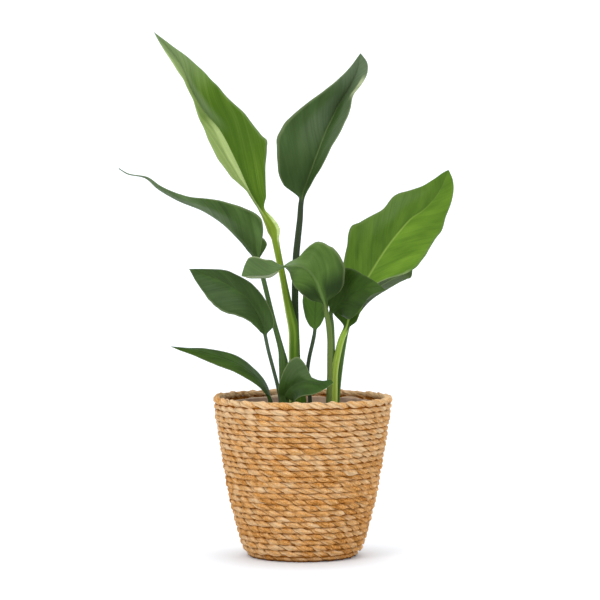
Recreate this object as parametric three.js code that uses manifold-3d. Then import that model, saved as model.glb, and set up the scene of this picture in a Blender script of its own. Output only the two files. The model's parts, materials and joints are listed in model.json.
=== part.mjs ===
// A young bird of paradise plant in its nursery pot, standing in a lined basket of twisted seagrass rope.
// Millimetres, +Z up, the front towards -Y. The origin is the centre of the basket's underside.
import * as THREE from 'three';
import { mergeVertices } from 'three/addons/utils/BufferGeometryUtils.js';
import Module from 'manifold-3d';

// Driving dimensions of the basket
const BASKET_HEIGHT = 196;
const RIM_ROPE = 8.7;             // height of the thick rope that finishes the rim
const ROPE_ROWS = 26;             // rows of rope below the rim
const BASKET_WALL = 8;
const BASKET_FLOOR = 8;
const UNDERSIDE_RADIUS = 58;      // flat round patch that the basket stands on
const ROPE_GROOVE = 2.2;          // depth of the groove between two rows
const STRANDS_ROUND = 22;         // twists of the rope in one row
const STRAND_RELIEF = 0.9;        // how far a twist stands out, and how far it slants
const BASKET_SIDE = [             // [height, outer radius]
  [0, 62], [7, 71], [22, 77.5], [37, 81.5], [66, 89], [95, 94.5], [125, 100], [154, 104.5], [196, 110],
];

// Driving dimensions of what stands in the basket
const GAP = 0.4;                  // clearance between pieces that touch on the real plant
const LINER_THICKNESS = 0.8;
const LINER_TOP = 189;
const LINER_TOP_RADIUS = 99.8;
const LINER_FLOOR_RADIUS = 62.8;
const POT_TOP = 190;
const POT_COLLAR = 12;            // height of the turned-over collar
const POT_COLLAR_RADIUS = 90;
const POT_TOP_RADIUS = 88;
const POT_FLOOR_RADIUS = 60.5;
const POT_WALL = 1.6;
const DRAIN_HOLES = 6;
const DRAIN_RADIUS = 5;
const SOIL_TOP = 178;
const SOIL_MOUND = 3;             // how much higher the soil is at the middle
const ROOT_DEPTH = 25;            // how deep a leaf stalk stands in the soil

// Driving dimensions of the leaves
const LEAF_THICKNESS = 0.8;
const KEEL_AT_TIP = 0.5;          // what the midrib adds below the blade at the tip
const FRAME_REACH = 0.13;         // share of the blade over which a turn of the midrib is evened out
const FOOT_SHARE = 0.06;          // share of the blade over which the stalk flattens into it
const TIP_CUT = 0.995;            // share of the midrib where the blade ends, a hair short of a point

const LATHE_SIDES = 40;
const wasm = await Module();
wasm.setup();

// A smooth curve through [place, value, ...] rows that never overshoots them
function along(rows, place, column = 1) {
  const last = rows.length - 1;
  if (place <= rows[0][0]) return rows[0][column] ?? 0;
  if (place >= rows[last][0]) return rows[last][column] ?? 0;
  const value = (i) => rows[i][column] ?? 0;
  const slope = (i) => (value(i + 1) - value(i)) / (rows[i + 1][0] - rows[i][0]);
  const tangent = (i) => {
    if (i === 0) return slope(0);
    if (i === last) return slope(last - 1);
    const before = slope(i - 1);
    const after = slope(i);
    return before * after <= 0 ? 0 : 2 * before * after / (before + after);
  };
  let i = 0;
  while (rows[i + 1][0] < place) i += 1;
  const span = rows[i + 1][0] - rows[i][0];
  const t = (place - rows[i][0]) / span;
  const rise = t * t * (3 - 2 * t);
  return value(i) + (value(i + 1) - value(i)) * rise
    + span * (tangent(i) * t * (1 - t) ** 2 - tangent(i + 1) * t * t * (1 - t));
}

// A solid of revolution from [radius, height] points
function lathe(profile, sides = LATHE_SIDES) {
  const points = profile.map(([radius, height]) => new THREE.Vector2(radius, height));
  return new THREE.LatheGeometry(points, sides).rotateX(Math.PI / 2);
}

function mesh(name, geometry, color, roughness) {
  const material = new THREE.MeshStandardMaterial({ color, roughness, metalness: 0 });
  const piece = new THREE.Mesh(geometry, material);
  piece.name = name;
  return piece;
}

// Cuts, on merged and outward-facing solids
function toManifold(geometry) {
  const bare = geometry.clone();
  bare.deleteAttribute('normal');
  bare.deleteAttribute('uv');
  const merged = mergeVertices(bare, 1e-3);
  const corners = [];
  for (let i = 0; i < merged.index.count; i += 3) {
    const [a, b, c] = [0, 1, 2].map((k) => merged.index.getX(i + k));
    if (a !== b && b !== c && c !== a) corners.push(a, b, c);
  }
  const vertProperties = new Float32Array(merged.attributes.position.array);
  const triVerts = new Uint32Array(corners);
  return new wasm.Manifold(new wasm.Mesh({ numProp: 3, vertProperties, triVerts }));
}

function cutAway(geometry, cutters) {
  const solid = cutters.reduce((rest, cutter) => rest.subtract(toManifold(cutter)), toManifold(geometry));
  const result = solid.getMesh();
  const cut = new THREE.BufferGeometry();
  cut.setAttribute('position', new THREE.BufferAttribute(new Float32Array(result.vertProperties), 3));
  cut.setIndex(Array.from(result.triVerts));
  return cut;
}

// The basket: stacked rows of two-ply rope, each row a ring with its twists in relief
const side = (height) => along(BASKET_SIDE, height);

function basketGeometry() {
  const profile = [[0, 0], [UNDERSIDE_RADIUS, 0]];
  const crests = new Map();
  const rowHeight = (BASKET_HEIGHT - RIM_ROPE) / ROPE_ROWS;
  for (let row = 0; row < ROPE_ROWS; row += 1) {
    const middle = (row + 0.5) * rowHeight;
    const top = (row + 1) * rowHeight;
    crests.set(profile.length, row);
    profile.push([side(middle), middle], [side(top) - ROPE_GROOVE, top]);
  }
  const rimMiddle = BASKET_HEIGHT - RIM_ROPE / 2;
  const rimInside = side(rimMiddle) - RIM_ROPE;
  crests.set(profile.length, ROPE_ROWS);
  profile.push([side(rimMiddle), rimMiddle], [side(BASKET_HEIGHT) - RIM_ROPE / 2, BASKET_HEIGHT]);
  profile.push([rimInside, rimMiddle]);
  for (const height of [180, 140, 95, 50, 20]) profile.push([side(height) - BASKET_WALL, height]);
  profile.push([side(BASKET_FLOOR) - BASKET_WALL, BASKET_FLOOR], [0, BASKET_FLOOR]);

  const geometry = lathe(profile, 2 * STRANDS_ROUND);
  const position = geometry.attributes.position;
  for (let i = 0; i < position.count; i += 1) {
    const row = crests.get(i % profile.length);
    if (row === undefined) continue;
    const turn = Math.floor(i / profile.length) % (2 * STRANDS_ROUND);
    const relief = (turn + row) % 2 === 0 ? STRAND_RELIEF : 0;
    const radius = Math.hypot(position.getX(i), position.getY(i));
    const shrink = (radius - STRAND_RELIEF + relief) / radius;
    position.setXYZ(i, position.getX(i) * shrink, position.getY(i) * shrink,
      position.getZ(i) + STRAND_RELIEF / 2 - relief);
  }
  return geometry;
}

// The film liner, a plain cup that keeps the basket dry
const linerFloor = BASKET_FLOOR + GAP;

function linerGeometry() {
  return lathe([
    [0, linerFloor], [LINER_FLOOR_RADIUS, linerFloor], [LINER_TOP_RADIUS, LINER_TOP],
    [LINER_TOP_RADIUS - LINER_THICKNESS, LINER_TOP],
    [LINER_FLOOR_RADIUS - LINER_THICKNESS, linerFloor + LINER_THICKNESS], [0, linerFloor + LINER_THICKNESS],
  ]);
}

// The nursery pot, with its collar and the drain holes in its floor
const potFloor = linerFloor + LINER_THICKNESS + GAP;
const collarFoot = POT_TOP - POT_COLLAR;

function potInside(height) {
  const rise = (height - potFloor) / (collarFoot - potFloor);
  return POT_FLOOR_RADIUS - POT_WALL + rise * (POT_TOP_RADIUS - POT_FLOOR_RADIUS);
}

function potGeometry() {
  const floorTop = potFloor + POT_WALL;
  const cup = lathe([
    [0, potFloor], [POT_FLOOR_RADIUS, potFloor], [POT_TOP_RADIUS, collarFoot],
    [POT_COLLAR_RADIUS, collarFoot], [POT_COLLAR_RADIUS, POT_TOP], [POT_COLLAR_RADIUS - POT_WALL, POT_TOP],
    [potInside(collarFoot), collarFoot], [potInside(floorTop), floorTop], [0, floorTop],
  ]);
  const holes = [];
  for (let hole = 0; hole < DRAIN_HOLES; hole += 1) {
    const turn = 2 * Math.PI * (hole + 0.5) / DRAIN_HOLES;
    const drill = new THREE.CylinderGeometry(DRAIN_RADIUS, DRAIN_RADIUS, 4 * POT_WALL, 10);
    const reach = POT_FLOOR_RADIUS - 3 * DRAIN_RADIUS;
    drill.rotateX(Math.PI / 2);
    holes.push(drill.translate(reach * Math.cos(turn), reach * Math.sin(turn), potFloor + POT_WALL / 2));
  }
  return cutAway(cup, holes);
}

// The soil, a lumpy mound with a plain hole for every stalk
function soilGeometry(stalkHoles) {
  const bottom = potFloor + POT_WALL + GAP;
  const profile = [[0, bottom], [potInside(bottom) - GAP, bottom], [potInside(SOIL_TOP) - GAP, SOIL_TOP]];
  const rings = 5;
  for (let ring = rings - 1; ring >= 0; ring -= 1) {
    const share = ring / rings;
    profile.push([share * (potInside(SOIL_TOP) - GAP), SOIL_TOP + SOIL_MOUND * (1 - share * share)]);
  }
  const geometry = lathe(profile, LATHE_SIDES / 2);
  const position = geometry.attributes.position;
  for (let i = 0; i < position.count; i += 1) {
    const [x, y, z] = [position.getX(i), position.getY(i), position.getZ(i)];
    if (z <= SOIL_TOP) continue;
    position.setZ(i, z + Math.sin(x * 0.19) * Math.cos(y * 0.23 + x * 0.05));
  }
  return cutAway(geometry, stalkHoles);
}

// The leaves. A leaf is one solid, its stalk and its blade along one centre line.
// stalk: [x, y, z, half width, half depth] from above the root end up to the foot of the blade
// rib: [x, y, z] of the midrib, on from the foot of the blade to the tip
// left, right: [share of the midrib, width of that half blade, degrees that it is folded to the front],
// where left and right are as the front sees a leaf that grows upwards, and 0 degrees faces the front
// curl: how many degrees each half bends on towards its margin
// wave: [waves along the margin, height of a wave]
// underFront: true where the front sees the underside, which carries the keel of the midrib
const LEAVES = [
  {
    name: 'leaf_tall_left',
    color: 0x67852f,
    stalk: [
      [-10, -5, 190, 6.5, 4.5], [-11, -5, 245, 5.5, 4], [-13, -4, 277, 5, 4], [-19, -3, 314, 4.8, 3.6],
      [-25, -1, 345, 4, 3.2], [-31, 1, 374, 4.2, 3], [-33.5, 2, 388, 4.6, 2.8], [-35.5, 4, 399, 8, 2.4],
      [-40.5, 5, 409, 6.6, 2.4], [-48, 6, 420, 3.8, 2.6],
    ],
    rib: [
      [-61, 9, 439], [-80, 19, 480], [-102, 29, 522], [-121, 34, 544], [-136, 38, 568], [-150, 43, 601],
      [-165, 46, 622], [-184, 49, 643],
    ],
    left: [
      [0, 3, 80], [0.1, 22, 84], [0.15, 28, 75], [0.2, 33, 66], [0.3, 42, 64], [0.4, 42, 65],
      [0.5, 37, 67], [0.56, 34, 82], [0.62, 31, 86], [0.7, 26, 84], [0.8, 16, 64], [0.9, 9, 50], [1, 0, 40],
    ],
    right: [
      [0, 4, 0], [0.03, 10, 0], [0.1, 20, 0], [0.2, 31, 2], [0.27, 41, 4], [0.3, 45.5, 5], [0.33, 42, 5],
      [0.5, 34.5, 6], [0.6, 33.5, 6], [0.7, 26.5, 6], [0.8, 14, 12], [0.9, 6, 40], [1, 0, 40],
    ],
    curl: [0, -14],
    wave: [3, 0.6],
    rings: 20,
  },
  {
    name: 'leaf_tall_right',
    color: 0x425933,
    stalk: [
      [-7, 7, 190, 4.8, 4.2], [-7.4, 9, 250, 4.4, 3.8], [-8.8, 12, 313, 4.2, 3.8], [-7.3, 15, 365, 4.2, 3.8],
      [-5, 17, 388, 4.2, 3.6], [-1, 21, 418, 3.8, 3.2], [-1.5, 22, 435, 3.2, 3],
    ],
    rib: [
      [5, 26, 455], [12, 30, 475], [21, 36, 499], [29, 42, 520], [36, 47, 535], [45, 53, 554], [58, 60, 575],
      [68, 67, 597], [72, 73, 618],
    ],
    left: [
      [0, 4, 0], [0.03, 18, 0], [0.06, 27, 2], [0.1, 35, 4], [0.2, 46, 6], [0.33, 54, 8], [0.4, 52, 8],
      [0.5, 42, 14], [0.6, 34, 38], [0.7, 26, 46], [0.8, 19, 46], [0.9, 11, 48], [1, 0, 48],
    ],
    right: [
      [0, 3, 70], [0.05, 18, 78], [0.1, 30, 79], [0.2, 42, 76], [0.3, 48, 75], [0.4, 48, 71], [0.5, 44, 68],
      [0.6, 36, 66], [0.7, 27, 69], [0.8, 20, 54], [0.9, 13.5, 20], [0.95, 10.5, 0], [1, 0, 0],
    ],
    curl: [-14, 0],
    wave: [3, 0.8],
    rings: 20,
  },
  {
    name: 'leaf_arching_left',
    color: 0x475e33,
    underFront: true,
    stalk: [
      [-19.5, 4, 190, 3.6, 3.4], [-23, 3, 246, 3.4, 3.2], [-27, 2, 265, 3.4, 3], [-34, 1, 289, 3.2, 3],
      [-40, 0, 314, 3, 2.8], [-47, -2, 339, 3, 2.8], [-53, -4, 358, 2.8, 2.8],
    ],
    rib: [
      [-60, -7, 368], [-69, -11, 380], [-80, -15, 392], [-94, -20, 406], [-109, -25, 417], [-123, -31, 425],
      [-150, -42, 436], [-174, -50, 450], [-189, -56, 463], [-210, -61, 468], [-221, -64, 475],
    ],
    left: [
      [0, 4, -150], [0.03, 12, -150], [0.07, 17, -138], [0.12, 25, -120], [0.2, 35, -110], [0.35, 34, -105],
      [0.5, 26, -100], [0.7, 14, -96], [0.85, 6, -93], [1, 0, -90],
    ],
    right: [
      [0, 2, 20], [0.05, 9, 18], [0.1, 20, 12], [0.15, 31, 10], [0.2, 37, 14], [0.3, 35, 32], [0.4, 30, 46],
      [0.5, 24, 56], [0.6, 18, 64], [0.7, 13, 66], [0.8, 7.5, 70], [0.9, 3.5, 78], [1, 0, 78],
    ],
    curl: [0, -8],
    wave: [3, 0.8],
    rings: 20,
  },
  {
    name: 'leaf_mid_left',
    color: 0x425c2f,
    stalk: [
      [-27, -14, 190, 2.4, 2.4], [-30, -15, 207, 2.3, 2.3], [-35, -17, 227, 2.2, 2.2],
      [-44, -22, 263, 2.2, 2.2], [-48, -26, 279, 2.2, 2.2],
    ],
    rib: [
      [-55, -31, 299], [-67, -38, 317], [-81, -46, 328], [-95, -54, 337], [-111, -62, 344], [-136, -72, 354],
    ],
    left: [
      [0, 2, 50], [0.1, 13, 64], [0.2, 21, 62], [0.3, 26, 54], [0.4, 29, 38], [0.5, 30.5, 20],
      [0.6, 30.5, 6], [0.7, 27, 4], [0.8, 20, 2], [0.9, 11, 0], [1, 0, 0],
    ],
    right: [
      [0, 4, -20], [0.05, 12, -15], [0.1, 17, -30], [0.2, 21, -42], [0.3, 24, -48], [0.5, 25, -52],
      [0.6, 24, -54], [0.7, 20, -56], [0.8, 14, -56], [0.9, 7.5, -56], [1, 0, -56],
    ],
    curl: [-8, 0],
    wave: [2, 0.8],
    rings: 13,
  },
  {
    name: 'leaf_low_left',
    color: 0x4c6333,
    stalk: [[-37, 5, 176, 2.6, 2.4], [-40, 6, 190, 2.6, 2.4]],
    rib: [
      [-46, 10, 205], [-59, 16, 219], [-74, 24, 230], [-90, 32, 237], [-112, 42, 243], [-137, 50, 249],
      [-164, 57, 253],
    ],
    left: [
      [0, 2, 62], [0.1, 10, 64], [0.2, 15, 62], [0.3, 18, 60], [0.45, 20, 60], [0.6, 17, 60], [0.75, 12, 60],
      [0.9, 6, 58], [1, 0, 58],
    ],
    right: [
      [0, 2, -70], [0.1, 12, -78], [0.2, 16, -74], [0.3, 19, -75], [0.5, 20, -68], [0.6, 18, -66],
      [0.75, 13, -68], [0.9, 5, -80], [1, 0, -80],
    ],
    curl: [0, 0],
    wave: [2, 0.5],
    rings: 13,
  },
  {
    name: 'leaf_front_low',
    color: 0x455933,
    stalk: [[-24, -31, 176, 2.8, 2.6], [-23, -32, 192, 2.8, 2.6]],
    rib: [
      [-20, -38, 203], [-14, -46, 211], [-4, -57, 217], [9, -70, 218.5], [23, -82, 217], [36.5, -90, 219],
    ],
    left: [
      [0, 4, 0], [0.08, 9, 0], [0.2, 15, -10], [0.3, 21, -12], [0.4, 27, -15], [0.45, 26, -38],
      [0.5, 23, -60], [0.56, 20, -72], [0.7, 15, -74], [0.85, 9, -62], [0.95, 6, -30], [1, 0, -20],
    ],
    right: [
      [0, 3, 40], [0.1, 12, 42], [0.2, 20, 40], [0.3, 25, 44], [0.45, 26, 46], [0.6, 22, 48], [0.75, 16, 50],
      [0.9, 7, 52], [1, 0, 52],
    ],
    curl: [0, 0],
    wave: [2, 0.3],
    rings: 14,
  },
  {
    name: 'leaf_twisted_front',
    color: 0x597838,
    underFront: true,
    stalk: [
      [32, -13, 190, 3.4, 3.2], [33, -13, 226, 3.3, 3.1], [33, -14, 243, 3.3, 3.1], [33, -17, 266, 3.3, 3.1],
      [31, -23, 287, 3.2, 3], [28.8, -26, 299, 3, 2.8], [26.7, -30, 310, 2.8, 2.8],
    ],
    rib: [
      [22, -36, 324], [18, -40, 335], [12.5, -44, 345], [5, -48, 353], [-4.5, -52, 357], [-13.5, -56, 357],
      [-22, -58, 356], [-32, -59, 351], [-41, -59, 347], [-54, -57, 346], [-65, -55, 346], [-74, -52, 345],
    ],
    left: [
      [0, 3, -10], [0.05, 12, -14], [0.1, 19, -18], [0.2, 26, -22], [0.3, 28, -26], [0.38, 27, -32],
      [0.44, 25, -46], [0.5, 23, -72], [0.56, 23, -100], [0.62, 25, -128], [0.7, 26, -154], [0.8, 25, -165],
      [0.9, 22, -165], [0.96, 12, -165], [1, 0, -165],
    ],
    right: [
      [0, 3, -5], [0.04, 18, -5], [0.1, 30, -5], [0.16, 38, -4], [0.24, 44, -4], [0.32, 42, -14],
      [0.38, 34, -48], [0.44, 32, -72], [0.5, 30, -84], [0.6, 28, -94], [0.75, 25, -98], [0.9, 17, -105],
      [0.96, 10, -110], [1, 0, -110],
    ],
    curl: [8, -8],
    wave: [2, 0.5],
    rings: 20,
  },
  {
    name: 'leaf_mid_right',
    color: 0x354c1f,
    stalk: [[36, 6, 190, 3, 2.8], [37, 4, 240, 2.8, 2.8], [36, 2, 280, 2.8, 2.8], [34.7, 2, 299, 2.6, 2.6]],
    rib: [
      [42, -2, 307], [51.5, -9, 314.5], [63.5, -20, 323], [79, -36, 330], [91, -47, 331], [99, -54, 328],
    ],
    left: [
      [0, 2, -10], [0.1, 15, -12], [0.2, 24, -12], [0.3, 31, -10], [0.42, 35, -8], [0.52, 32, -12],
      [0.62, 25, -22], [0.75, 17, -34], [0.88, 9, -40], [1, 0, -40],
    ],
    right: [
      [0, 4, 20], [0.06, 12, 22], [0.15, 21, 32], [0.25, 27, 42], [0.4, 30, 46], [0.55, 29, 46],
      [0.7, 24, 46], [0.82, 17, 46], [0.92, 9, 46], [1, 0, 46],
    ],
    curl: [-10, -10],
    wave: [2, 0.5],
    rings: 14,
  },
  {
    name: 'leaf_bright_right',
    color: 0x5a7a2e,
    stalk: [
      [38, -4, 190, 4.6, 4], [39, -3, 225, 4.2, 3.8], [42, -1, 243, 4, 3.6], [47, 2, 264, 3.8, 3.4],
      [53, 6.5, 278, 3.4, 3],
    ],
    rib: [
      [58, 12, 293], [64, 18, 309], [72, 24, 326], [81, 30, 341], [96, 37, 365], [111, 43, 386],
      [121, 46, 398], [134, 51, 412], [150, 56, 423], [163, 62, 436], [174, 67, 453], [182, 72, 473],
    ],
    left: [
      [0, 5, 5], [0.02, 15, 8], [0.05, 21, 10], [0.1, 24, 12], [0.18, 28, 14], [0.26, 36, 16],
      [0.36, 46, 16], [0.45, 48, 18], [0.52, 43, 18], [0.6, 36, 18], [0.66, 34, 14], [0.74, 33.5, 14],
      [0.82, 28.5, 14], [0.9, 18, 14], [0.96, 9, 14], [1, 0, 14],
    ],
    right: [
      [0, 4, 15], [0.04, 10, 15], [0.15, 13, 20], [0.25, 22, 20], [0.33, 33, 18], [0.42, 42.5, 16],
      [0.52, 45.5, 14], [0.62, 42.5, 14], [0.72, 36.5, 14], [0.8, 25.5, 18], [0.9, 17, 18], [0.96, 9.5, 15],
      [1, 0, 15],
    ],
    curl: [-16, -12],
    wave: [3, 0.8],
    rings: 22,
  },
  {
    name: 'leaf_back_right',
    color: 0x33451f,
    stalk: [
      [43, 15, 190, 2.8, 2.6], [46, 15, 224, 2.8, 2.6], [52, 20, 263, 2.6, 2.6], [56, 26, 280, 2.4, 2.4],
    ],
    rib: [[61, 32, 290], [67, 41, 301], [79, 51, 315], [94, 62, 326], [112, 74, 336], [138, 90, 348]],
    left: [
      [0, 2, -55], [0.1, 12, -60], [0.3, 24, -62], [0.5, 26, -62], [0.7, 22, -62], [0.9, 9, -60],
      [1, 0, -60],
    ],
    right: [
      [0, 2, 60], [0.1, 9, 60], [0.3, 17, 68], [0.5, 21, 70], [0.7, 18, 68], [0.85, 13, 56], [0.93, 9, 35],
      [1, 0, 35],
    ],
    curl: [0, 0],
    wave: [2, 0.5],
    rings: 13,
  },
  {
    name: 'leaf_small_back',
    color: 0x3f5a26,
    stalk: [
      [9, 22, 190, 2.5, 2.4], [6, 22, 224, 2.4, 2.4], [8, 22, 241, 2.4, 2.4], [13, 23, 263, 2.4, 2.4],
      [15, 24, 275, 2.2, 2.2],
    ],
    rib: [[15, 27, 290], [16, 31, 306], [18, 36, 322], [21, 42, 339], [25, 50, 364]],
    left: [
      [0, 2, 10], [0.08, 8, 10], [0.2, 13, 15], [0.35, 17, 20], [0.5, 18, 22], [0.7, 14, 22], [0.9, 5, 20],
      [1, 0, 20],
    ],
    right: [
      [0, 2, 10], [0.08, 7.5, 10], [0.2, 13, 15], [0.35, 17, 22], [0.5, 18, 22], [0.7, 14, 22], [0.9, 5, 20],
      [1, 0, 20],
    ],
    curl: [-8, -8],
    wave: [2, 0.3],
    rings: 12,
  },
];

const DEGREE = Math.PI / 180;
const BACK = new THREE.Vector3(0, 1, 0);
const CURVE_STEPS = 60;           // measuring steps between two points of a centre line
const STALK_REACH = 4;            // mm over which a turn of the stalk is evened out
const STALK_STEP = 40;            // longest stretch of stalk between two rings

// The leaf's centre line with its root end, measured off by length
function centreLine(leaf) {
  const [x, y, , halfWidth, halfDepth] = leaf.stalk[0];
  const stalk = [[x, y, SOIL_TOP - ROOT_DEPTH, halfWidth, halfDepth], ...leaf.stalk];
  const points = [...stalk, ...leaf.rib].map(([px, py, pz]) => new THREE.Vector3(px, py, pz));
  const curve = new THREE.CatmullRomCurve3(points, false, 'centripetal');
  curve.arcLengthDivisions = CURVE_STEPS * (points.length - 1);
  const lengths = curve.getLengths();
  const sizes = stalk.map((row, index) => [lengths[CURVE_STEPS * index], row[3], row[4], row[2]]);
  return { curve, sizes, total: lengths[lengths.length - 1], foot: sizes[sizes.length - 1][0] };
}

// Directions at one place: along the leaf, to the left, and to the front
function frameAt(line, length, reach) {
  const at = (where) => line.curve.getPointAt(THREE.MathUtils.clamp(where / line.total, 0, 1));
  const forward = at(length + reach).sub(at(length - reach)).normalize();
  const left = forward.clone().cross(BACK).normalize();
  const front = forward.clone().cross(left).normalize();
  return { centre: at(length), forward, left, front };
}

// A ring of points round the leaf is seven across its front face, then seven back along its other face
const COLUMNS = [-1, -0.55, -0.1, 0, 0.1, 0.55, 1];
const RIB_COLUMN = 3;

function stalkRing(frame, halfWidth, halfDepth) {
  return COLUMNS.concat(COLUMNS).map((_, index) => {
    const turn = Math.PI - (index + 0.5) * Math.PI / COLUMNS.length;
    return frame.centre.clone()
      .addScaledVector(frame.left, -halfWidth * Math.cos(turn))
      .addScaledVector(frame.front, halfDepth * Math.sin(turn));
  });
}

// One place in the middle of the blade's thickness, out along a half that folds, curls and waves
function bladePoint(leaf, frame, share, column) {
  const rows = column < 0 ? leaf.left : leaf.right;
  const sideways = column < 0 ? 1 : -1;
  const width = along(rows, share, 1);
  const fold = along(rows, share, 2) * DEGREE;
  const curl = leaf.curl[column < 0 ? 0 : 1] * DEGREE;
  const across = Math.abs(column);
  const point = frame.centre.clone();
  const steps = 6;
  for (let step = 0; step < steps; step += 1) {
    const turn = fold + curl * across * (step + 0.5) / steps;
    point.addScaledVector(frame.left, sideways * Math.cos(turn) * width * across / steps);
    point.addScaledVector(frame.front, Math.sin(turn) * width * across / steps);
  }
  const [waves, height] = leaf.wave;
  const phase = 2 * Math.PI * waves * share + (column < 0 ? 0 : 2);
  const ripple = height * across ** 2 * Math.sin(phase) * Math.sin(Math.PI * share);
  return point.addScaledVector(frame.front, ripple);
}

function bladeRing(leaf, frame, share, ribWidth, ribDepth) {
  const ribHalf = THREE.MathUtils.lerp(ribWidth, 1, share);
  const places = COLUMNS.map((column, index) => {
    if (Math.abs(index - RIB_COLUMN) !== 1) return bladePoint(leaf, frame, share, column);
    const width = Math.max(along(column < 0 ? leaf.left : leaf.right, share, 1), 0.01);
    return bladePoint(leaf, frame, share, Math.sign(column) * Math.min(ribHalf / width, 0.3));
  });
  const normals = places.map((_, index) => {
    const before = places[Math.max(index - 1, 0)];
    const after = places[Math.min(index + 1, places.length - 1)];
    return after.clone().sub(before).cross(frame.forward).normalize();
  });
  const keel = THREE.MathUtils.lerp(ribDepth, KEEL_AT_TIP, Math.min(1, 1.15 * share ** 0.6));
  const face = (side, keeled) => places.map((place, index) => {
    const rise = LEAF_THICKNESS / 2 + (keeled && index === RIB_COLUMN ? keel : 0);
    return place.clone().addScaledVector(normals[index], side * rise);
  });
  return face(1, leaf.underFront).concat(face(-1, !leaf.underFront).reverse());
}

// Rings joined into one closed skin, with both faces of the blade split the same way
function loft(rings) {
  const size = rings[0].length;
  const index = [];
  for (let ring = 0; ring < rings.length - 1; ring += 1) {
    for (let k = 0; k < size; k += 1) {
      const a = ring * size + k;
      const b = ring * size + (k + 1) % size;
      if (k < size / 2) index.push(a, b, b + size, a, b + size, a + size);
      else index.push(a, b, a + size, b, b + size, a + size);
    }
  }
  const last = (rings.length - 1) * size;
  for (let k = 0; k < size / 2 - 1; k += 1) {
    const far = size - 1 - k;
    index.push(k, far, k + 1, k + 1, far, far - 1);
    index.push(last + k, last + k + 1, last + far, last + k + 1, last + far - 1, last + far);
  }
  const corners = rings.flat().flatMap((point) => point.toArray());
  const geometry = new THREE.BufferGeometry();
  geometry.setAttribute('position', new THREE.Float32BufferAttribute(corners, 3));
  geometry.setIndex(index);
  return geometry;
}

// The stalk's rings stand where its line bends, and the blade's are closer together towards its foot
function leafGeometry(leaf) {
  const line = centreLine(leaf);
  const rings = [];
  line.sizes.slice(1).forEach(([end], index) => {
    const start = line.sizes[index][0];
    const steps = Math.ceil((end - start) / STALK_STEP);
    for (let step = 0; step < steps; step += 1) {
      const length = start + (end - start) * step / steps;
      const frame = frameAt(line, length, STALK_REACH);
      rings.push(stalkRing(frame, along(line.sizes, length, 1), along(line.sizes, length, 2)));
    }
  });
  const bladeLength = line.total - line.foot;
  const [, footWidth, footDepth] = line.sizes[line.sizes.length - 1];
  for (let step = 0; step <= leaf.rings; step += 1) {
    const share = TIP_CUT * (step / leaf.rings) ** 1.12;
    const reach = THREE.MathUtils.lerp(STALK_REACH, FRAME_REACH * bladeLength, Math.min(1, 8 * share));
    const frame = frameAt(line, line.foot + share * bladeLength, reach);
    const blade = bladeRing(leaf, frame, share, footWidth, footDepth);
    const spread = THREE.MathUtils.smoothstep(share, 0, FOOT_SHARE);
    rings.push(stalkRing(frame, footWidth, footDepth).map((point, k) => point.lerp(blade[k], spread)));
  }
  return loft(rings);
}

// The room that a stalk needs in the soil
function stalkHole(leaf) {
  const line = centreLine(leaf);
  const above = line.sizes.findIndex((row) => row[3] > SOIL_TOP + 3 * SOIL_MOUND);
  return loft(line.sizes.slice(0, above + 1).map(([length, halfWidth, halfDepth], index) => {
    const frame = frameAt(line, length, STALK_REACH);
    if (index === 0) frame.centre.addScaledVector(frame.forward, -GAP);
    return stalkRing(frame, halfWidth + GAP, halfDepth + GAP);
  }));
}

const group = new THREE.Group();
group.add(mesh('basket', basketGeometry(), 0xc1905c, 0.85));
group.add(mesh('liner', linerGeometry(), 0xb9b7ae, 0.35));
group.add(mesh('grow_pot', potGeometry(), 0x6f5f53, 0.6));
group.add(mesh('soil', soilGeometry(LEAVES.map(stalkHole)), 0x3a2a1e, 0.95));
for (const leaf of LEAVES) group.add(mesh(leaf.name, leafGeometry(leaf), leaf.color, 0.4));

export default group;
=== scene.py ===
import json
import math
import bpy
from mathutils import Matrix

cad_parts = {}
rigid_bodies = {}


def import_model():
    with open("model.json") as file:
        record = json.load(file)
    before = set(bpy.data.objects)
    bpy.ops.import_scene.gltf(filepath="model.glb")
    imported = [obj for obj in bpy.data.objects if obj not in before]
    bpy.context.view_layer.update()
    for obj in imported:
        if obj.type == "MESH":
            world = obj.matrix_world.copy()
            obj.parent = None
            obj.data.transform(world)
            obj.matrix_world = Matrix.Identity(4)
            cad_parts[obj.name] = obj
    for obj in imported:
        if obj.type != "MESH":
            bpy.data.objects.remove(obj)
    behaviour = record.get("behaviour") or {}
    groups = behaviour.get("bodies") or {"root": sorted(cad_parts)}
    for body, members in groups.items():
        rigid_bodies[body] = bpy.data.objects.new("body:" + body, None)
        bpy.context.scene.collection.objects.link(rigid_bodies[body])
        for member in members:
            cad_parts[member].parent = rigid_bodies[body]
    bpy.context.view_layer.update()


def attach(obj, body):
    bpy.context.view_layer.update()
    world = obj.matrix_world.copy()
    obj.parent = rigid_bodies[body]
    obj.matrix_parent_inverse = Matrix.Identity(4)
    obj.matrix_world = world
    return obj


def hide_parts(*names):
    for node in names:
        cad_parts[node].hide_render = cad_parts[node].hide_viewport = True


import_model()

# A young bird of paradise in its nursery pot and a film-lined basket of twisted seagrass rope.
# Shapes are worked out in millimetres and made in metres. The front of the plant looks towards -Y.
from types import SimpleNamespace

import bpy
import numpy as np
from mathutils import Vector

mm = 0.001
fullTurn = 2 * math.pi
back = np.array([0.0, 1.0, 0.0])


def displayColour(red, green, blue):  # a colour as the eye sees it, turned into what a shader takes
    linear = [c / 12.92 if c <= 0.04045 else ((c + 0.055) / 1.055) ** 2.4 for c in (red, green, blue)]
    return (*linear, 1.0)


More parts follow.
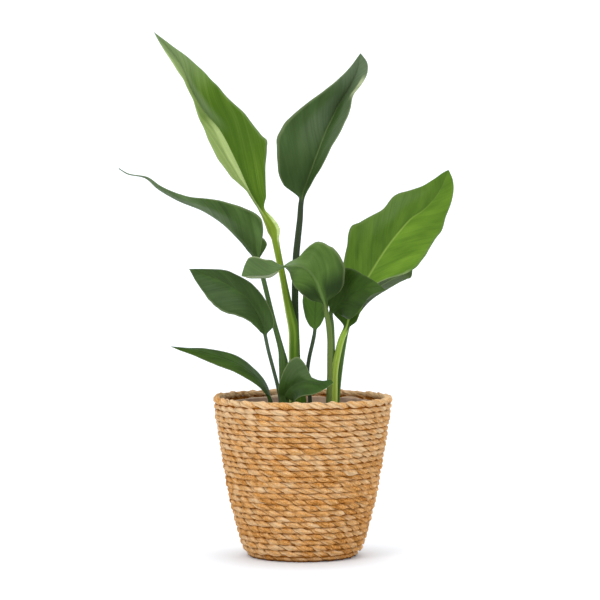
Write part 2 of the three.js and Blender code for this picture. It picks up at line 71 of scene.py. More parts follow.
def put(tree, kind, inputs=None, **settings):
    node = tree.nodes.new("ShaderNode" + kind)
    for name, value in settings.items():
        setattr(node, name, value)
    for name, value in (inputs or {}).items():
        if isinstance(value, bpy.types.NodeSocket):
            tree.links.new(value, node.inputs[name])
        else:
            node.inputs[name].default_value = value
    return node


def reckon(tree, operation, first, second=0.0, third=0.0, clamp=False):
    node = put(tree, "Math", {0: first, 1: second, 2: third}, operation=operation, use_clamp=clamp)
    return node.outputs[0]


def scaled(tree, value, factor, clamp=False):
    return reckon(tree, "MULTIPLY", value, factor, clamp=clamp)


def mixColours(tree, factor, under, over):
    node = put(tree, "Mix", {0: factor, 6: under, 7: over}, data_type="RGBA")
    return node.outputs[2]


def spread(tree, value, low, high, toLow=0.0, toHigh=1.0):
    ends = {0: value, 1: low, 2: high, 3: toLow, 4: toHigh}
    return put(tree, "MapRange", ends, interpolation_type="SMOOTHSTEP").outputs[0]


def colourRamp(tree, value, *stops):
    node = put(tree, "ValToRGB", {0: value})
    elements = node.color_ramp.elements
    while len(elements) < len(stops):
        elements.new(0.5)
    for element, (place, colour) in zip(elements, stops):
        element.position = place
        element.color = colour
    return node.outputs[0]


def readMarks(tree, name):  # the three numbers that a piece carries at each vertex
    marks = put(tree, "Attribute", attribute_name=name)
    parts = put(tree, "SeparateXYZ", {0: marks.outputs["Vector"]})
    return parts.outputs[0], parts.outputs[1], parts.outputs[2]


def noise(tree, place, scale, detail, roughness=0.5, distortion=0.0):
    inputs = {"Vector": place, "Scale": scale, "Detail": detail, "Roughness": roughness,
              "Distortion": distortion}
    return put(tree, "TexNoise", inputs).outputs["Fac"]


def mottle(tree, scale, detail, roughness=0.5, distortion=0.0):  # noise that stands still in the object
    return noise(tree, put(tree, "TexCoord").outputs["Object"], scale, detail, roughness, distortion)


def grain(tree, along, across, own, scales, detail, roughness=0.55):
    # noise drawn out along a strand or a vein, with one scale along it and one across it
    place = {0: scaled(tree, along, scales[0]), 1: scaled(tree, across, scales[1]), 2: own}
    return noise(tree, put(tree, "CombineXYZ", place).outputs[0], 1.0, detail, roughness)


def newMaterial(name):
    material = bpy.data.materials.new(name)
    material.use_nodes = True
    material.node_tree.nodes.clear()
    return material, material.node_tree


def coat(tree, colour, roughness, height, strength, distance, more=None):  # more: other inputs of the shader
    relief = put(tree, "Bump", {"Strength": strength, "Distance": distance, "Height": height})
    inputs = {"Base Color": colour, "Roughness": roughness, "Normal": relief.outputs[0], **(more or {})}
    put(tree, "OutputMaterial", {"Surface": put(tree, "BsdfPrincipled", inputs).outputs[0]})


def showInScene(name, data):
    piece = bpy.data.objects.new(name, data)
    bpy.context.scene.collection.objects.link(piece)
    return piece


def turnTowards(piece, place, target):
    aim = Vector(target) - Vector(place)
    piece.rotation_euler = aim.to_track_quat("-Z", "Y").to_euler()


def makePiece(name, vertices, faces, material, nodes=(), marks=None, smooth=True):
    mesh = bpy.data.meshes.new(name)
    mesh.from_pydata(np.asarray(vertices, float) * mm, [], faces)
    if smooth:
        mesh.polygons.foreach_set("use_smooth", [True] * len(mesh.polygons))
    for key, values in (marks or {}).items():
        layer = mesh.attributes.new(key, "FLOAT_VECTOR", "POINT")
        layer.data.foreach_set("vector", np.asarray(values, np.float32).ravel())
    mesh.materials.append(material)
    mesh.update()
    piece = showInScene(name, mesh)
    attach(piece, "root")
    if nodes:
        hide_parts(*nodes)
    return piece


def profileThrough(rows, places, column=1):  # a smooth curve through (place, value, ...) rows
    x = np.array([row[0] for row in rows], float)
    y = np.array([row[column] for row in rows], float)
    slope = np.diff(y) / np.diff(x)
    total = slope[:-1] + slope[1:]
    product = slope[:-1] * slope[1:]
    middle = np.where(product > 0, 2 * product / np.where(total == 0, 1, total), 0)
    tangent = np.concatenate([slope[:1], middle, slope[-1:]])
    places = np.asarray(places, float)
    i = np.clip(np.searchsorted(x, places, side="right") - 1, 0, len(x) - 2)
    span = x[i + 1] - x[i]
    t = np.clip((places - x[i]) / span, 0, 1)
    rise = y[i] + (y[i + 1] - y[i]) * t * t * (3 - 2 * t)
    return rise + span * (tangent[i] * t * (1 - t) ** 2 - tangent[i + 1] * t * t * (1 - t))


def easeBetween(value, low, high):
    t = np.clip((np.asarray(value, float) - low) / (high - low), 0, 1)
    return t * t * (3 - 2 * t)


def unit(vectors):
    return vectors / np.maximum(np.linalg.norm(vectors, axis=-1, keepdims=True), 1e-9)


def slowNoise(draw, count, waves, size=1.0):  # a smooth random line that closes on itself
    turn = np.linspace(0, fullTurn, count, endpoint=False)
    line = np.zeros(count)
    for wave in range(1, waves + 1):
        line += draw.normal() * np.cos(wave * turn + draw.uniform(0, fullTurn))
    return size * (line / math.sqrt(waves))


def ringOf(radius, turns, height):  # one ring of points round the middle
    heights = np.broadcast_to(height, turns.shape)
    return np.stack([radius * np.cos(turns), radius * np.sin(turns), heights], -1)


def shiftFaces(faces, start):
    return [tuple(start + corner for corner in face) for face in faces]


def ringFaces(rings, size, closedAlong=False):
    faces = []
    for ring in range(rings if closedAlong else rings - 1):
        here = ring * size
        there = ((ring + 1) % rings) * size
        for k in range(size):
            faces.append((here + k, here + (k + 1) % size, there + (k + 1) % size, there + k))
    return faces


def closedSkin(rings, sides):  # rings whose two ends close on a point each, the last two vertices
    faces = ringFaces(rings, sides)
    low, high, top = rings * sides, rings * sides + 1, (rings - 1) * sides
    for k in range(sides):
        faces.append((low, (k + 1) % sides, k))
        faces.append((high, top + k, top + (k + 1) % sides))
    return faces


def spun(profile, sides):  # turns (radius, height) points, the outer two on the axis, into a closed solid
    inner = profile[1:-1]
    turns = np.linspace(0, fullTurn, sides, endpoint=False)
    vertices = [(r * math.cos(t), r * math.sin(t), z) for r, z in inner for t in turns]
    vertices += [(0, 0, profile[0][1]), (0, 0, profile[-1][1])]
    return vertices, closedSkin(len(inner), sides)


camera = {"place": (-3.3, -3400, 470), "lookAt": (-3.3, 0, 313.6), "lens": 166.92, "filmWidth": 36}

cameraData = bpy.data.cameras.new("productCamera")
cameraData.lens = camera["lens"]
cameraData.sensor_width = camera["filmWidth"]
cameraData.clip_start = 0.1
cameraData.clip_end = 50
productCamera = showInScene("productCamera", cameraData)
productCamera.location = Vector(camera["place"]) * mm
turnTowards(productCamera, camera["place"], camera["lookAt"])
bpy.context.scene.camera = productCamera
print("camera ready")

studio = {  # in metres
    "sky": 0.92,
    "softboxes": (  # name, place, where it points, size, watts
        ("keyLight", (-1.7, -2.2, 2.1), (0, 0, 0.3), 1.5, 34),
        ("fillLight", (2.2, -1.9, 1.3), (0, 0, 0.3), 1.6, 13),
        ("topLight", (0.1, 0.5, 2.6), (0, 0, 0.2), 1.6, 16),
    ),
    "floorColour": displayColour(0.94, 0.96, 0.982),
    "floorGlow": 0.085,  # the floor glows a little to keep it white, but the glow is left out round the basket, which paints a shadow at its foot
    "paintedShadowEdge": (0.07, 0.17),
    "farGlow": 0.22,     # and a little more towards its far edges
    "farGlowFrom": (0.8, 5.0),
    "halfWidth": 7.0, "frontEdge": -7.0, "backEdge": 5.0, "bend": 1.2, "wallTop": 6.0,
}


def hangSoftboxes():
    world = bpy.data.worlds.new("studioSurround")
    world.use_nodes = True
    background = world.node_tree.nodes["Background"]
    background.inputs["Color"].default_value = (1, 1, 1, 1)
    background.inputs["Strength"].default_value = studio["sky"]
    bpy.context.scene.world = world
    for name, place, target, size, watts in studio["softboxes"]:
        lamp = bpy.data.lights.new(name, "AREA")
        lamp.size = size
        lamp.energy = watts
        softbox = showInScene(name, lamp)
        softbox.location = place
        turnTowards(softbox, place, target)


def floorMaterial():
    material, tree = newMaterial("paleFloorPaint")
    place = put(tree, "TexCoord").outputs["Object"]
    reach = put(tree, "VectorMath", {0: place}, operation="LENGTH").outputs["Value"]
    # painted shadow: the glow only rises beyond the basket's foot
    glow = spread(tree, reach, *studio["paintedShadowEdge"], 0.0, studio["floorGlow"])
    glow = reckon(tree, "ADD", glow, spread(tree, reach, *studio["farGlowFrom"], 0.0, studio["farGlow"]))
    coat(tree, studio["floorColour"], 0.75, noise(tree, place, 90.0, 3.0), 0.03, 0.0005,
         {"Emission Color": (1, 1, 1, 1), "Emission Strength": glow})
    return material


def layFloor():  # one sheet that runs level and then curves up behind
    edge, bend, side = studio["backEdge"], studio["bend"], studio["halfWidth"]
    steps = [(studio["frontEdge"], 0.0), (edge, 0.0)]
    for t in np.linspace(0.1, math.pi / 2, 14):
        steps.append((edge + bend * math.sin(t), bend - bend * math.cos(t)))
    steps.append((edge + bend, studio["wallTop"]))
    vertices = [(x, y, z) for y, z in steps for x in (-side, side)]
    faces = [(2 * i, 2 * i + 1, 2 * i + 3, 2 * i + 2) for i in range(len(steps) - 1)]
    mesh = bpy.data.meshes.new("studioFloor")
    mesh.from_pydata(vertices, [], faces)
    mesh.polygons.foreach_set("use_smooth", [True] * len(mesh.polygons))
    mesh.materials.append(floorMaterial())
    floor = showInScene("studioFloor", mesh)


hangSoftboxes()
layFloor()
bpy.context.scene.view_settings.view_transform = "Standard"
print("studio ready")


basket = {
    "height": 196,
    "rows": 27,
    "rowTaper": 0.055,           # how much wider than the mean the lowest row is, and narrower the highest
    "side": (                    # (height, radius)
        (0, 62), (7, 71), (22, 77.5), (37, 81.5), (66, 89), (95, 94.5), (125, 100), (154, 104.5), (196, 110),
    ),
    "rowRope": {"samples": 400, "sides": 8, "swell": 0.16},
    "lay": 36,                   # length over which a strand goes once round its rope
    "overlap": 1.10,             # how much thicker a rope is than its row is high
    "unevenHeight": (-0.25, 0.25), "unevenRadius": (-0.15, 0.35),
    "unevenLay": (0.86, 1.16), "unevenThickness": (0.92, 1.09),
    "rim": 8.7,                  # height of the thicker rope along the top
    "rimRise": 0.8, "rimOverlap": 1.02,
    "rimRope": {"lay": 44, "samples": 480, "sides": 12, "swell": 0.20, "number": 40, "shaded": 0.2},
    "coils": 8, "coilFrom": 4.2, "coilStep": 7.3,
    "coilRope": {"height": 3.9, "thickness": 7.0, "lay": 34, "sides": 8, "swell": 0.08},
    "lowest": 0.05,              # what would sink into the floor lies flat at this height
    "straw": displayColour(0.99, 0.84, 0.65),
    "honey": displayColour(0.95, 0.705, 0.415),
    "rust": displayColour(0.83, 0.545, 0.235),
    "bark": displayColour(0.46, 0.24, 0.03),
    "footShadeTop": 4.2, "footShadeDepth": 2.5,           # painted shade: the lowest rope is darkened where it stands on the floor
    "paleTowardsRim": 0.27, "paleTowardsRimFrom": (105, 175),     # how much paler the rope is painted towards the rim, and from which heights
    "seed": 21,
}

rope = {  # lengths as shares of the rope's thickness, unevenness as (waves, size)
    "strands": 2,
    "reach": 0.19, "climb": 0.17,          # how far a strand's middle swings out and up
    "outward": 0.23, "sideways": 0.42,     # half depth and half width of a strand
    "slowTwist": (9, 0.35), "quickTwist": (45, 0.22), "sway": (7, 0.22), "lift": (7, 0.20),
    "bulge": 0.96, "frontBulge": 0.17, "bulgeWaves": 60,
    "lean": 0.16,                          # how far it lies along the row in front before it dives under
    "patches": 14,                         # lengths of one dryness along a strand
}


def basketRadius(height):
    return float(profileThrough(basket["side"], height))


def rowHeight(row):  # the rows get lower towards the rim
    share = row / basket["rows"]
    return (basket["height"] - basket["rim"]) * share * (1 + basket["rowTaper"] * (1 - share))


def seagrassMaterial(name, paleness):
    material, tree = newMaterial(name)
    run, across, own = readMarks(tree, "strandRun")       # metres along, metres round, a number of its own
    groove, ends, dry = readMarks(tree, "strandShade")    # painted shade in a groove, painted shade near a strand's ends, dryness with painted light on the rim
    lobes = grain(tree, run, across, own, (34, 60), 2.0)
    stalks = grain(tree, run, across, own, (110, 900), 3.0)
    fibres = grain(tree, run, across, own, (330, 2200), 4.0, 0.7)
    fuzz = mottle(tree, 620.0, 4.0, 0.7)
    tone = reckon(tree, "MULTIPLY_ADD", lobes, 0.45, scaled(tree, stalks, 0.40))
    tone = reckon(tree, "ADD", tone, scaled(tree, fibres, 0.45))
    tone = reckon(tree, "ADD", tone, scaled(tree, fuzz, 0.60))
    tone = reckon(tree, "ADD", tone, reckon(tree, "MULTIPLY_ADD", dry, 0.18, paleness - 0.47))
    colour = colourRamp(tree, tone, (0.30, basket["bark"]), (0.42, basket["rust"]), (0.54, basket["honey"]),
                        (0.70, basket["straw"]))
    # painted shade: in the grooves and at the strands' ends the colour turns to bark brown
    paintedShade = reckon(tree, "MULTIPLY_ADD", groove, 0.55, scaled(tree, ends, 0.38))
    colour = mixColours(tree, spread(tree, paintedShade, 0.15, 1.0, 0.0, 0.9), colour, basket["bark"])
    threads = reckon(tree, "ADD", stalks, scaled(tree, fibres, 0.6))
    threads = reckon(tree, "ADD", threads, scaled(tree, fuzz, 0.9))
    rough = spread(tree, stalks, 0.3, 0.7, 0.62, 0.86)
    coat(tree, colour, rough, threads, 1.0, 0.0024, {"Specular IOR Level": 0.05})
    return material


def twistRope(draw, radius, height, thickness, lay, samples, sides, swell, number, shaded=1.0):
    # One closed ring of rope: its strands wind round each other and bulge a little unevenly.
    strands, patches = rope["strands"], rope["patches"]
    around = fullTurn * radius
    turns = max(1, round(around / lay))
    angle = np.linspace(0, fullTurn, samples, endpoint=False)
    twist = draw.uniform(0, fullTurn) + slowNoise(draw, samples, *rope["slowTwist"])
    twist = twist + slowNoise(draw, samples, *rope["quickTwist"])
    sway = slowNoise(draw, samples, *rope["sway"])
    lift = slowNoise(draw, samples, *rope["lift"])
    reach, climb = thickness * rope["reach"], thickness * rope["climb"]
    vertices, faces, run, shade = [], [], [], []
    for strand in range(strands):
        turn = -turns * angle + twist + fullTurn * strand / strands
        passing = np.round(turn / fullTurn)     # each time it comes to the front it looks a bit different
        turn = turn - rope["lean"] * np.sin(2 * turn)
        bulge = rope["bulge"] + slowNoise(draw, samples, rope["bulgeWaves"], swell)
        bulge = bulge + rope["frontBulge"] * np.cos(turn)
        outward = thickness * rope["outward"] * bulge
        sideways = thickness * rope["sideways"] * bulge
        dry = np.append(draw.uniform(0, 1, patches), 0.5)
        dryness = np.interp(np.arange(samples), np.linspace(0, samples, patches + 1), dry)
        along = around * angle / fullTurn + 97 * strand
        own = number * 3.7 + strand * 1.9 + passing * 5.3
        for side in range(sides):
            way = fullTurn * side / sides
            deep, wide = outward * math.cos(way), sideways * math.sin(way)
            out = reach * np.cos(turn) + deep * np.cos(turn) - wide * np.sin(turn)
            up = climb * np.sin(turn) + deep * np.sin(turn) + wide * np.cos(turn)
            # painted shade deep in the groove between the strands
            groove = np.clip((0.40 - np.hypot(out, up) / thickness) / 0.12, 0, 1)
            vertices.append(ringOf(radius + sway + out, angle, height + lift + up))
            run.append(np.stack([along * mm, np.full(samples, way * 0.3 * thickness * mm), own], -1))
            # painted shade where a strand dives under, most on its lower end, and on its side facing into the
            # basket
            ends = np.clip(1 - np.cos(turn) / 0.5, 0, 1) * np.clip(0.25 - 2.5 * up / thickness, 0.25, 1)
            ends = np.maximum(ends, np.clip(-2.2 * out / thickness - 0.2, 0, 1)) * shaded
            # the strand's own dryness, and on the rim a painted highlight on its top and painted light on its
            # inner side
            drynessAndPaintedLight = dryness + np.clip((up - 1.4 * out) / thickness, 0, 0.9) * (shaded < 1)
            shade.append(np.stack([groove, ends, drynessAndPaintedLight], -1))
        faces += shiftFaces(ringFaces(samples, sides, True), strand * samples * sides)

    def inRings(parts):  # from side after side to ring after ring
        return np.stack(parts).reshape(strands, sides, samples, 3).transpose(0, 2, 1, 3).reshape(-1, 3)

    return inRings(vertices), faces, inRings(run), inRings(shade)


def gather(ropes):
    vertices, faces, run, shade, start = [], [], [], [], 0
    for points, quads, ropeRun, ropeShade in ropes:
        vertices.append(np.maximum(points, (-np.inf, -np.inf, basket["lowest"])))
        faces += shiftFaces(quads, start)
        run.append(ropeRun)
        shade.append(ropeShade)
        start += len(points)
    return np.vstack(vertices), faces, {"strandRun": np.vstack(run), "strandShade": np.vstack(shade)}


def windRow(row, draw):
    pitch = rowHeight(row + 1) - rowHeight(row)
    middle = rowHeight(row + 0.5) + draw.uniform(*basket["unevenHeight"])
    lay = basket["lay"] * draw.uniform(*basket["unevenLay"])
    radius = basketRadius(middle) - pitch / 2 + draw.uniform(*basket["unevenRadius"])
    thickness = basket["overlap"] * pitch * draw.uniform(*basket["unevenThickness"])
    points, quads, run, shade = twistRope(draw, radius, middle, thickness, lay, number=row,
                                          **basket["rowRope"])
    # painted shade along the foot of the lowest rope
    footShade = np.clip((basket["footShadeTop"] - points[:, 2:]) / basket["footShadeDepth"], 0, 1)
    shade[:, :2] = np.maximum(shade[:, :2], footShade)
    # the rows are painted paler towards the rim
    shade[:, 2] += basket["paleTowardsRim"] * easeBetween(middle, *basket["paleTowardsRimFrom"])
    return points, quads, run, shade


def windRim(draw):
    rim = basket["rim"]
    middle = basket["height"] - rim / 2 + basket["rimRise"]
    thickness = basket["rimOverlap"] * rim
    return twistRope(draw, basketRadius(middle) - rim / 2, middle, thickness, **basket["rimRope"])


def windCoil(coil, draw):  # one ring of the underside
    radius = basket["coilFrom"] + basket["coilStep"] * coil
    return twistRope(draw, radius, samples=40 + 14 * coil, number=60 + coil, **basket["coilRope"])


def weaveBasket(draw, wallRope, rimRope):
    rows = [windRow(row, draw) for row in range(basket["rows"])]
    half = basket["rows"] // 2
    parts = (
        ("basketLowRows", wallRope, rows[:half]),
        ("basketHighRows", wallRope, rows[half:]),
        ("basketRim", rimRope, [windRim(draw)]),
        ("basketUnderside", wallRope, [windCoil(coil, draw) for coil in range(basket["coils"])]),
    )
    for name, material, ropes in parts:
        vertices, faces, marks = gather(ropes)
        makePiece(name, vertices, faces, material, ["basket"], marks)


core = {  # the rope ends and stitches that fill the wall between the rows
    "heights": (6, 14, 30, 50, 75, 100, 125, 150, 175, 190),
    "outerInset": 3.3, "innerInset": 4.6,  # how far its two faces lie inside the basket's outline
    "foot": ((0, 3.2), (54, 3.2), (62, 3.6)),
    "floor": ((60, 5.2), (0, 5.2)),
    "dark": displayColour(0.50, 0.28, 0.06), "light": displayColour(0.66, 0.42, 0.14),
}


def coreMaterial():
    material, tree = newMaterial("ropeCore")
    patches = mottle(tree, 260.0, 3.0)
    colour = colourRamp(tree, patches, (0.3, core["dark"]), (0.7, core["light"]))
    coat(tree, colour, 0.9, patches, 0.5, 0.0005, {"Specular IOR Level": 0.05})
    return material


def packCore():
    outside = [(basketRadius(z) - core["outerInset"], z) for z in core["heights"]]
    inside = [(basketRadius(z) - core["innerInset"], z) for z in reversed(core["heights"])]
    vertices, faces = spun([*core["foot"], *outside, *inside, *core["floor"]], 96)
    makePiece("basketCore", vertices, faces, coreMaterial(), ["basket"])


strayFibres = {
    "count": 190, "heights": (8, 193), "length": (5, 15), "rise": (-0.5, 0.35), "lift": (0.6, 2.2),
    "radius": 0.22, "top": 198,
}


def frayRopes(draw, material):  # loose ends of grass that stand out of the rope
    vertices, faces, run, shade = [], [], [], []
    tube = ringFaces(5, 3) + [(2, 1, 0), (12, 13, 14)]
    for fibre in range(strayFibres["count"]):
        angle = draw.uniform(0, fullTurn)
        height = draw.uniform(*strayFibres["heights"])
        radius = basketRadius(height) - 1.2
        length = draw.uniform(*strayFibres["length"])
        rise = draw.uniform(*strayFibres["rise"])
        lift = draw.uniform(*strayFibres["lift"])
        faces += shiftFaces(tube, len(vertices))
        for step in range(5):
            t = step / 4
            flat = radius + lift * math.sin(t * 2.2)
            here = angle + t * length / radius
            z = height + rise * length * t
            thick = strayFibres["radius"] * (1 - 0.6 * t)
            for way in (0.5, 2.6, 4.7):
                out = flat + thick * math.cos(way)
                up = min(z + thick * math.sin(way), strayFibres["top"])
                vertices.append((out * math.cos(here), out * math.sin(here), up))
                run.append((length * t * mm, way * thick * mm, 200.0 + fibre))
                shade.append((0.0, 0.0, 1.0))
    marks = {"strandRun": run, "strandShade": shade}
    makePiece("basketFibres", vertices, faces, material, (), marks)


basketDraw = np.random.default_rng(basket["seed"])
paleRope = seagrassMaterial("seagrassRim", 0.05)
weaveBasket(basketDraw, seagrassMaterial("seagrassRope", 0.0), paleRope)
packCore()
frayRopes(basketDraw, paleRope)
print("basket woven")


liner = {
    "top": 187.0, "topRadius": 99.4, "floor": 8.6, "floorRadius": 62.4, "thickness": 0.35, "opacity": 0.4,
    "film": displayColour(1.0, 0.92, 0.78), "haze": displayColour(0.92, 0.76, 0.58),
    "folds": (26, 0.9), "creases": (60, 0.5), "hem": (14, 1.9),  # (waves, size)
    "inward": (0.2, 2.6),
    "seed": 5,
}


def linerMaterial():
    material, tree = newMaterial("linerFilm")
    colour = colourRamp(tree, mottle(tree, 45.0, 2.0), (0.35, liner["haze"]), (0.65, liner["film"]))
    crinkle = mottle(tree, 190.0, 4.0, distortion=1.5)
    coat(tree, colour, 0.22, crinkle, 0.9, 0.0018, {"Alpha": liner["opacity"]})
    return material


def hangLiner():  # a film cup that hangs loosely folded, with an uneven hem
    draw = np.random.default_rng(liner["seed"])
    sides, levels = 180, 40
    folds, creases, hem = (slowNoise(draw, sides, *liner[kind]) for kind in ("folds", "creases", "hem"))
    turns = np.linspace(0, fullTurn, sides, endpoint=False)
    low, thickness = liner["floor"], liner["thickness"]
    rings = []
    for level in range(levels):
        share = level / (levels - 1)
        height = low + (liner["top"] - low) * share + hem * share ** 6
        loose = 0.5 * share + 0.15
        inward = 1.0 + loose * (folds + creases * math.cos(9 * share))
        radius = liner["floorRadius"] + (liner["topRadius"] - liner["floorRadius"]) * share
        rings.append(ringOf(radius - np.clip(inward, *liner["inward"]), turns, height))
    skin = rings + [ring - ringOf(thickness, turns, 0.0) for ring in reversed(rings)]
    skin[-1] = skin[-1] + np.array([0, 0, thickness])
    vertices = np.vstack(skin + [[[0, 0, low]], [[0, 0, low + thickness]]])
    faces = closedSkin(len(skin), sides)
    makePiece("linerFilmCup", vertices, faces, linerMaterial(), ["liner"])


hangLiner()
print("liner hung")


pot = {
    "top": 188, "collar": 11, "collarRadius": 90, "topRadius": 88, "floorRadius": 60.5, "floor": 9.6,
    "wall": 1.6, "drainHoles": 6, "drainRadius": 5,
    "plastic": displayColour(0.56, 0.44, 0.35), "dusty": displayColour(0.70, 0.58, 0.48),
}


def potInside(height):
    foot = pot["top"] - pot["collar"]
    rise = (height - pot["floor"]) / (foot - pot["floor"])
    return pot["floorRadius"] - pot["wall"] + rise * (pot["topRadius"] - pot["floorRadius"])


def potMaterial():
    material, tree = newMaterial("potPlastic")
    dust = mottle(tree, 60.0, 5.0)
    colour = colourRamp(tree, dust, (0.35, pot["plastic"]), (0.68, pot["dusty"]))
    coat(tree, colour, spread(tree, dust, 0.3, 0.7, 0.42, 0.62), mottle(tree, 900.0, 2.0), 0.2, 0.0002)
    return material


def drillDrains(cup):
    radius = pot["drainRadius"]
    reach = pot["floorRadius"] - 3 * radius
    drills = bpy.data.collections.new("potDrills")
    for hole in range(pot["drainHoles"]):
        turn = fullTurn * (hole + 0.5) / pot["drainHoles"]
        shape, sides = spun([(0, -4), (radius, -4), (radius, 4), (0, 4)], 24)
        shift = np.array([reach * math.cos(turn), reach * math.sin(turn), pot["floor"]])
        mesh = bpy.data.meshes.new("drill")
        mesh.from_pydata((np.array(shape) + shift) * mm, [], sides)
        drills.objects.link(bpy.data.objects.new("drill", mesh))
    bpy.context.scene.collection.children.link(drills)
    cut = cup.modifiers.new("drainHoles", "BOOLEAN")
    cut.operand_type = "COLLECTION"
    cut.collection = drills
    cut.solver = "EXACT"
    bpy.context.view_layer.update()
    solid = bpy.data.meshes.new_from_object(cup.evaluated_get(bpy.context.evaluated_depsgraph_get()))
    cup.modifiers.clear()
    cup.data = solid
    for drill in list(drills.objects):
        bpy.data.objects.remove(drill)
    bpy.data.collections.remove(drills)


def mouldPot():
    low, top, wall = pot["floor"], pot["top"], pot["wall"]
    foot = top - pot["collar"]
    edge = pot["collarRadius"]
    profile = [
        (0, low), (pot["floorRadius"] - 1, low), (pot["floorRadius"], low + 1),
        (pot["topRadius"], foot - 0.4), (edge - 0.3, foot), (edge, foot + 0.5),
        (edge, top - 0.9), (edge - 0.3, top - 0.25), (edge - 0.8, top), (edge - 1.3, top - 0.25),
        (edge - wall, top - 0.9), (edge - wall, foot + 1.2),
        (potInside(foot), foot - 0.6), (potInside(low + wall), low + wall), (0, low + wall),
    ]
    vertices, faces = spun(profile, 144)
    drillDrains(makePiece("nurseryPot", vertices, faces, potMaterial(), ["grow_pot"]))


mouldPot()
print("pot moulded")


soil = {
    "top": 178, "mound": 3, "bottom": 11.7, "clearance": 0.5, "waves": 26, "seed": 8,
    "lump": 0.12,
    "crumbs": 420, "crumbInset": 5, "perliteShare": 0.22, "perliteSize": (0.8, 1.7), "crumbSize": (0.9, 3.0),
    "dark": displayColour(0.14, 0.095, 0.065), "peat": displayColour(0.30, 0.205, 0.14),
    "crumb": displayColour(0.40, 0.28, 0.18), "perlite": displayColour(0.86, 0.85, 0.82),
}
soilEdge = potInside(soil["top"]) - soil["clearance"]


def soilHeight(x, y, waves, evenness=1.0):  # the mound with its lumps
    lumps = 0
    for pitch, way, phase in waves:
        along = x * math.cos(way) + y * math.sin(way)
        lumps = lumps + np.sin(pitch * along + phase) * soil["lump"] / pitch ** 0.35
    return soil["top"] + soil["mound"] * (1 - (np.hypot(x, y) / soilEdge) ** 2) + lumps * evenness


def soilMaterial():
    material, tree = newMaterial("pottingSoil")
    place = put(tree, "TexCoord").outputs["Object"]
    clods = noise(tree, place, 220.0, 6.0, 0.7)
    cells = put(tree, "TexVoronoi", {"Vector": place, "Scale": 420.0}).outputs["Distance"]
    colour = colourRamp(tree, clods, (0.35, soil["dark"]), (0.68, soil["peat"]))
    coat(tree, colour, 0.92, reckon(tree, "ADD", clods, cells), 0.9, 0.0012)
    return material


def crumbMaterial():
    material, tree = newMaterial("soilCrumbs")
    white, shade, _ = readMarks(tree, "crumbTint")
    pits = mottle(tree, 900.0, 3.0)
    brown = colourRamp(tree, shade, (0.1, soil["dark"]), (0.9, soil["crumb"]))
    chalk = mixColours(tree, scaled(tree, pits, 0.35), soil["perlite"], soil["peat"])
    coat(tree, mixColours(tree, white, brown, chalk), 0.9, pits, 0.6, 0.0004)
    return material


def fillSoil(waves):
    sides, rings = 150, 46
    turns = np.linspace(0, fullTurn, sides, endpoint=False)
    levels = (soil["bottom"], 60, 110, 150, soil["top"] - 1.5)
    skin = [ringOf(potInside(z) - soil["clearance"], turns, z) for z in levels]
    for ring in range(rings):
        share = 1 - ring / rings
        x, y = soilEdge * share * np.cos(turns), soilEdge * share * np.sin(turns)
        skin.append(np.stack([x, y, soilHeight(x, y, waves, min(1, 8 * (1 - share) + 0.3))], -1))
    vertices = np.vstack(skin + [[[0, 0, soil["bottom"]]], [[0, 0, soil["top"] + soil["mound"]]]])
    makePiece("pottingSoilBody", vertices, closedSkin(len(skin), sides), soilMaterial(), ["soil"])


def scatterCrumbs(draw, waves):
    vertices, faces, tint = [], [], []
    corners = np.array([(1, 0, 0), (-1, 0, 0), (0, 1, 0), (0, -1, 0), (0, 0, 1), (0, 0, -1)])
    sheets = [(0, 2, 4), (2, 1, 4), (1, 3, 4), (3, 0, 4), (2, 0, 5), (1, 2, 5), (3, 1, 5), (0, 3, 5)]
    for crumb in range(soil["crumbs"]):
        reach = (soilEdge - soil["crumbInset"]) * math.sqrt(draw.uniform())
        way = draw.uniform(0, fullTurn)
        x, y = reach * math.cos(way), reach * math.sin(way)
        z = float(soilHeight(x, y, waves))
        white = draw.uniform() < soil["perliteShare"]
        size = draw.uniform(*soil["perliteSize" if white else "crumbSize"])
        shape = corners * size * draw.uniform(0.6, 1.2, (6, 1)) * np.array([1, 1, 0.6])
        faces += shiftFaces(sheets, len(vertices))
        vertices += list(shape + np.array([x, y, z + 0.2 * size]))
        tint += [(1.0 if white else 0.0, draw.uniform(), 0)] * 6
    makePiece("soilCrumbs", vertices, faces, crumbMaterial(), (), {"crumbTint": tint}, smooth=False)


soilDraw = np.random.default_rng(soil["seed"])
soilWaves = [(soilDraw.uniform(0.05, 0.5), soilDraw.uniform(0, fullTurn), soilDraw.uniform(0, fullTurn))
             for _ in range(soil["waves"])]
fillSoil(soilWaves)
scatterCrumbs(soilDraw, soilWaves)
print("soil filled")


# What each leaf's dictionary holds, in mm and degrees. The points of the stalks and midribs were read off
# the photograph and turned into mm through the camera above, and the depth of each is a guess.
# stalk: (x, y, z, half width, half depth) up to the foot of the blade
# rib: (x, y, z) of the midrib on to the tip
# left, right: (share of the midrib, width of that half, how far it is folded to the front)
# curl: how far each half bends on towards its margin
# waves: (waves along the margin, their height)
# veinSlope: how far a side vein runs forward for each mm outward
# underFront: True where the front shows the underside, with its keel
# look: what differs from plainLook, with colours as the eye sees them
# paint: (what, half, across from, to, share from, to, soft edge, strength); deep is painted shade, bloom a
# waxy bloom with a painted sheen

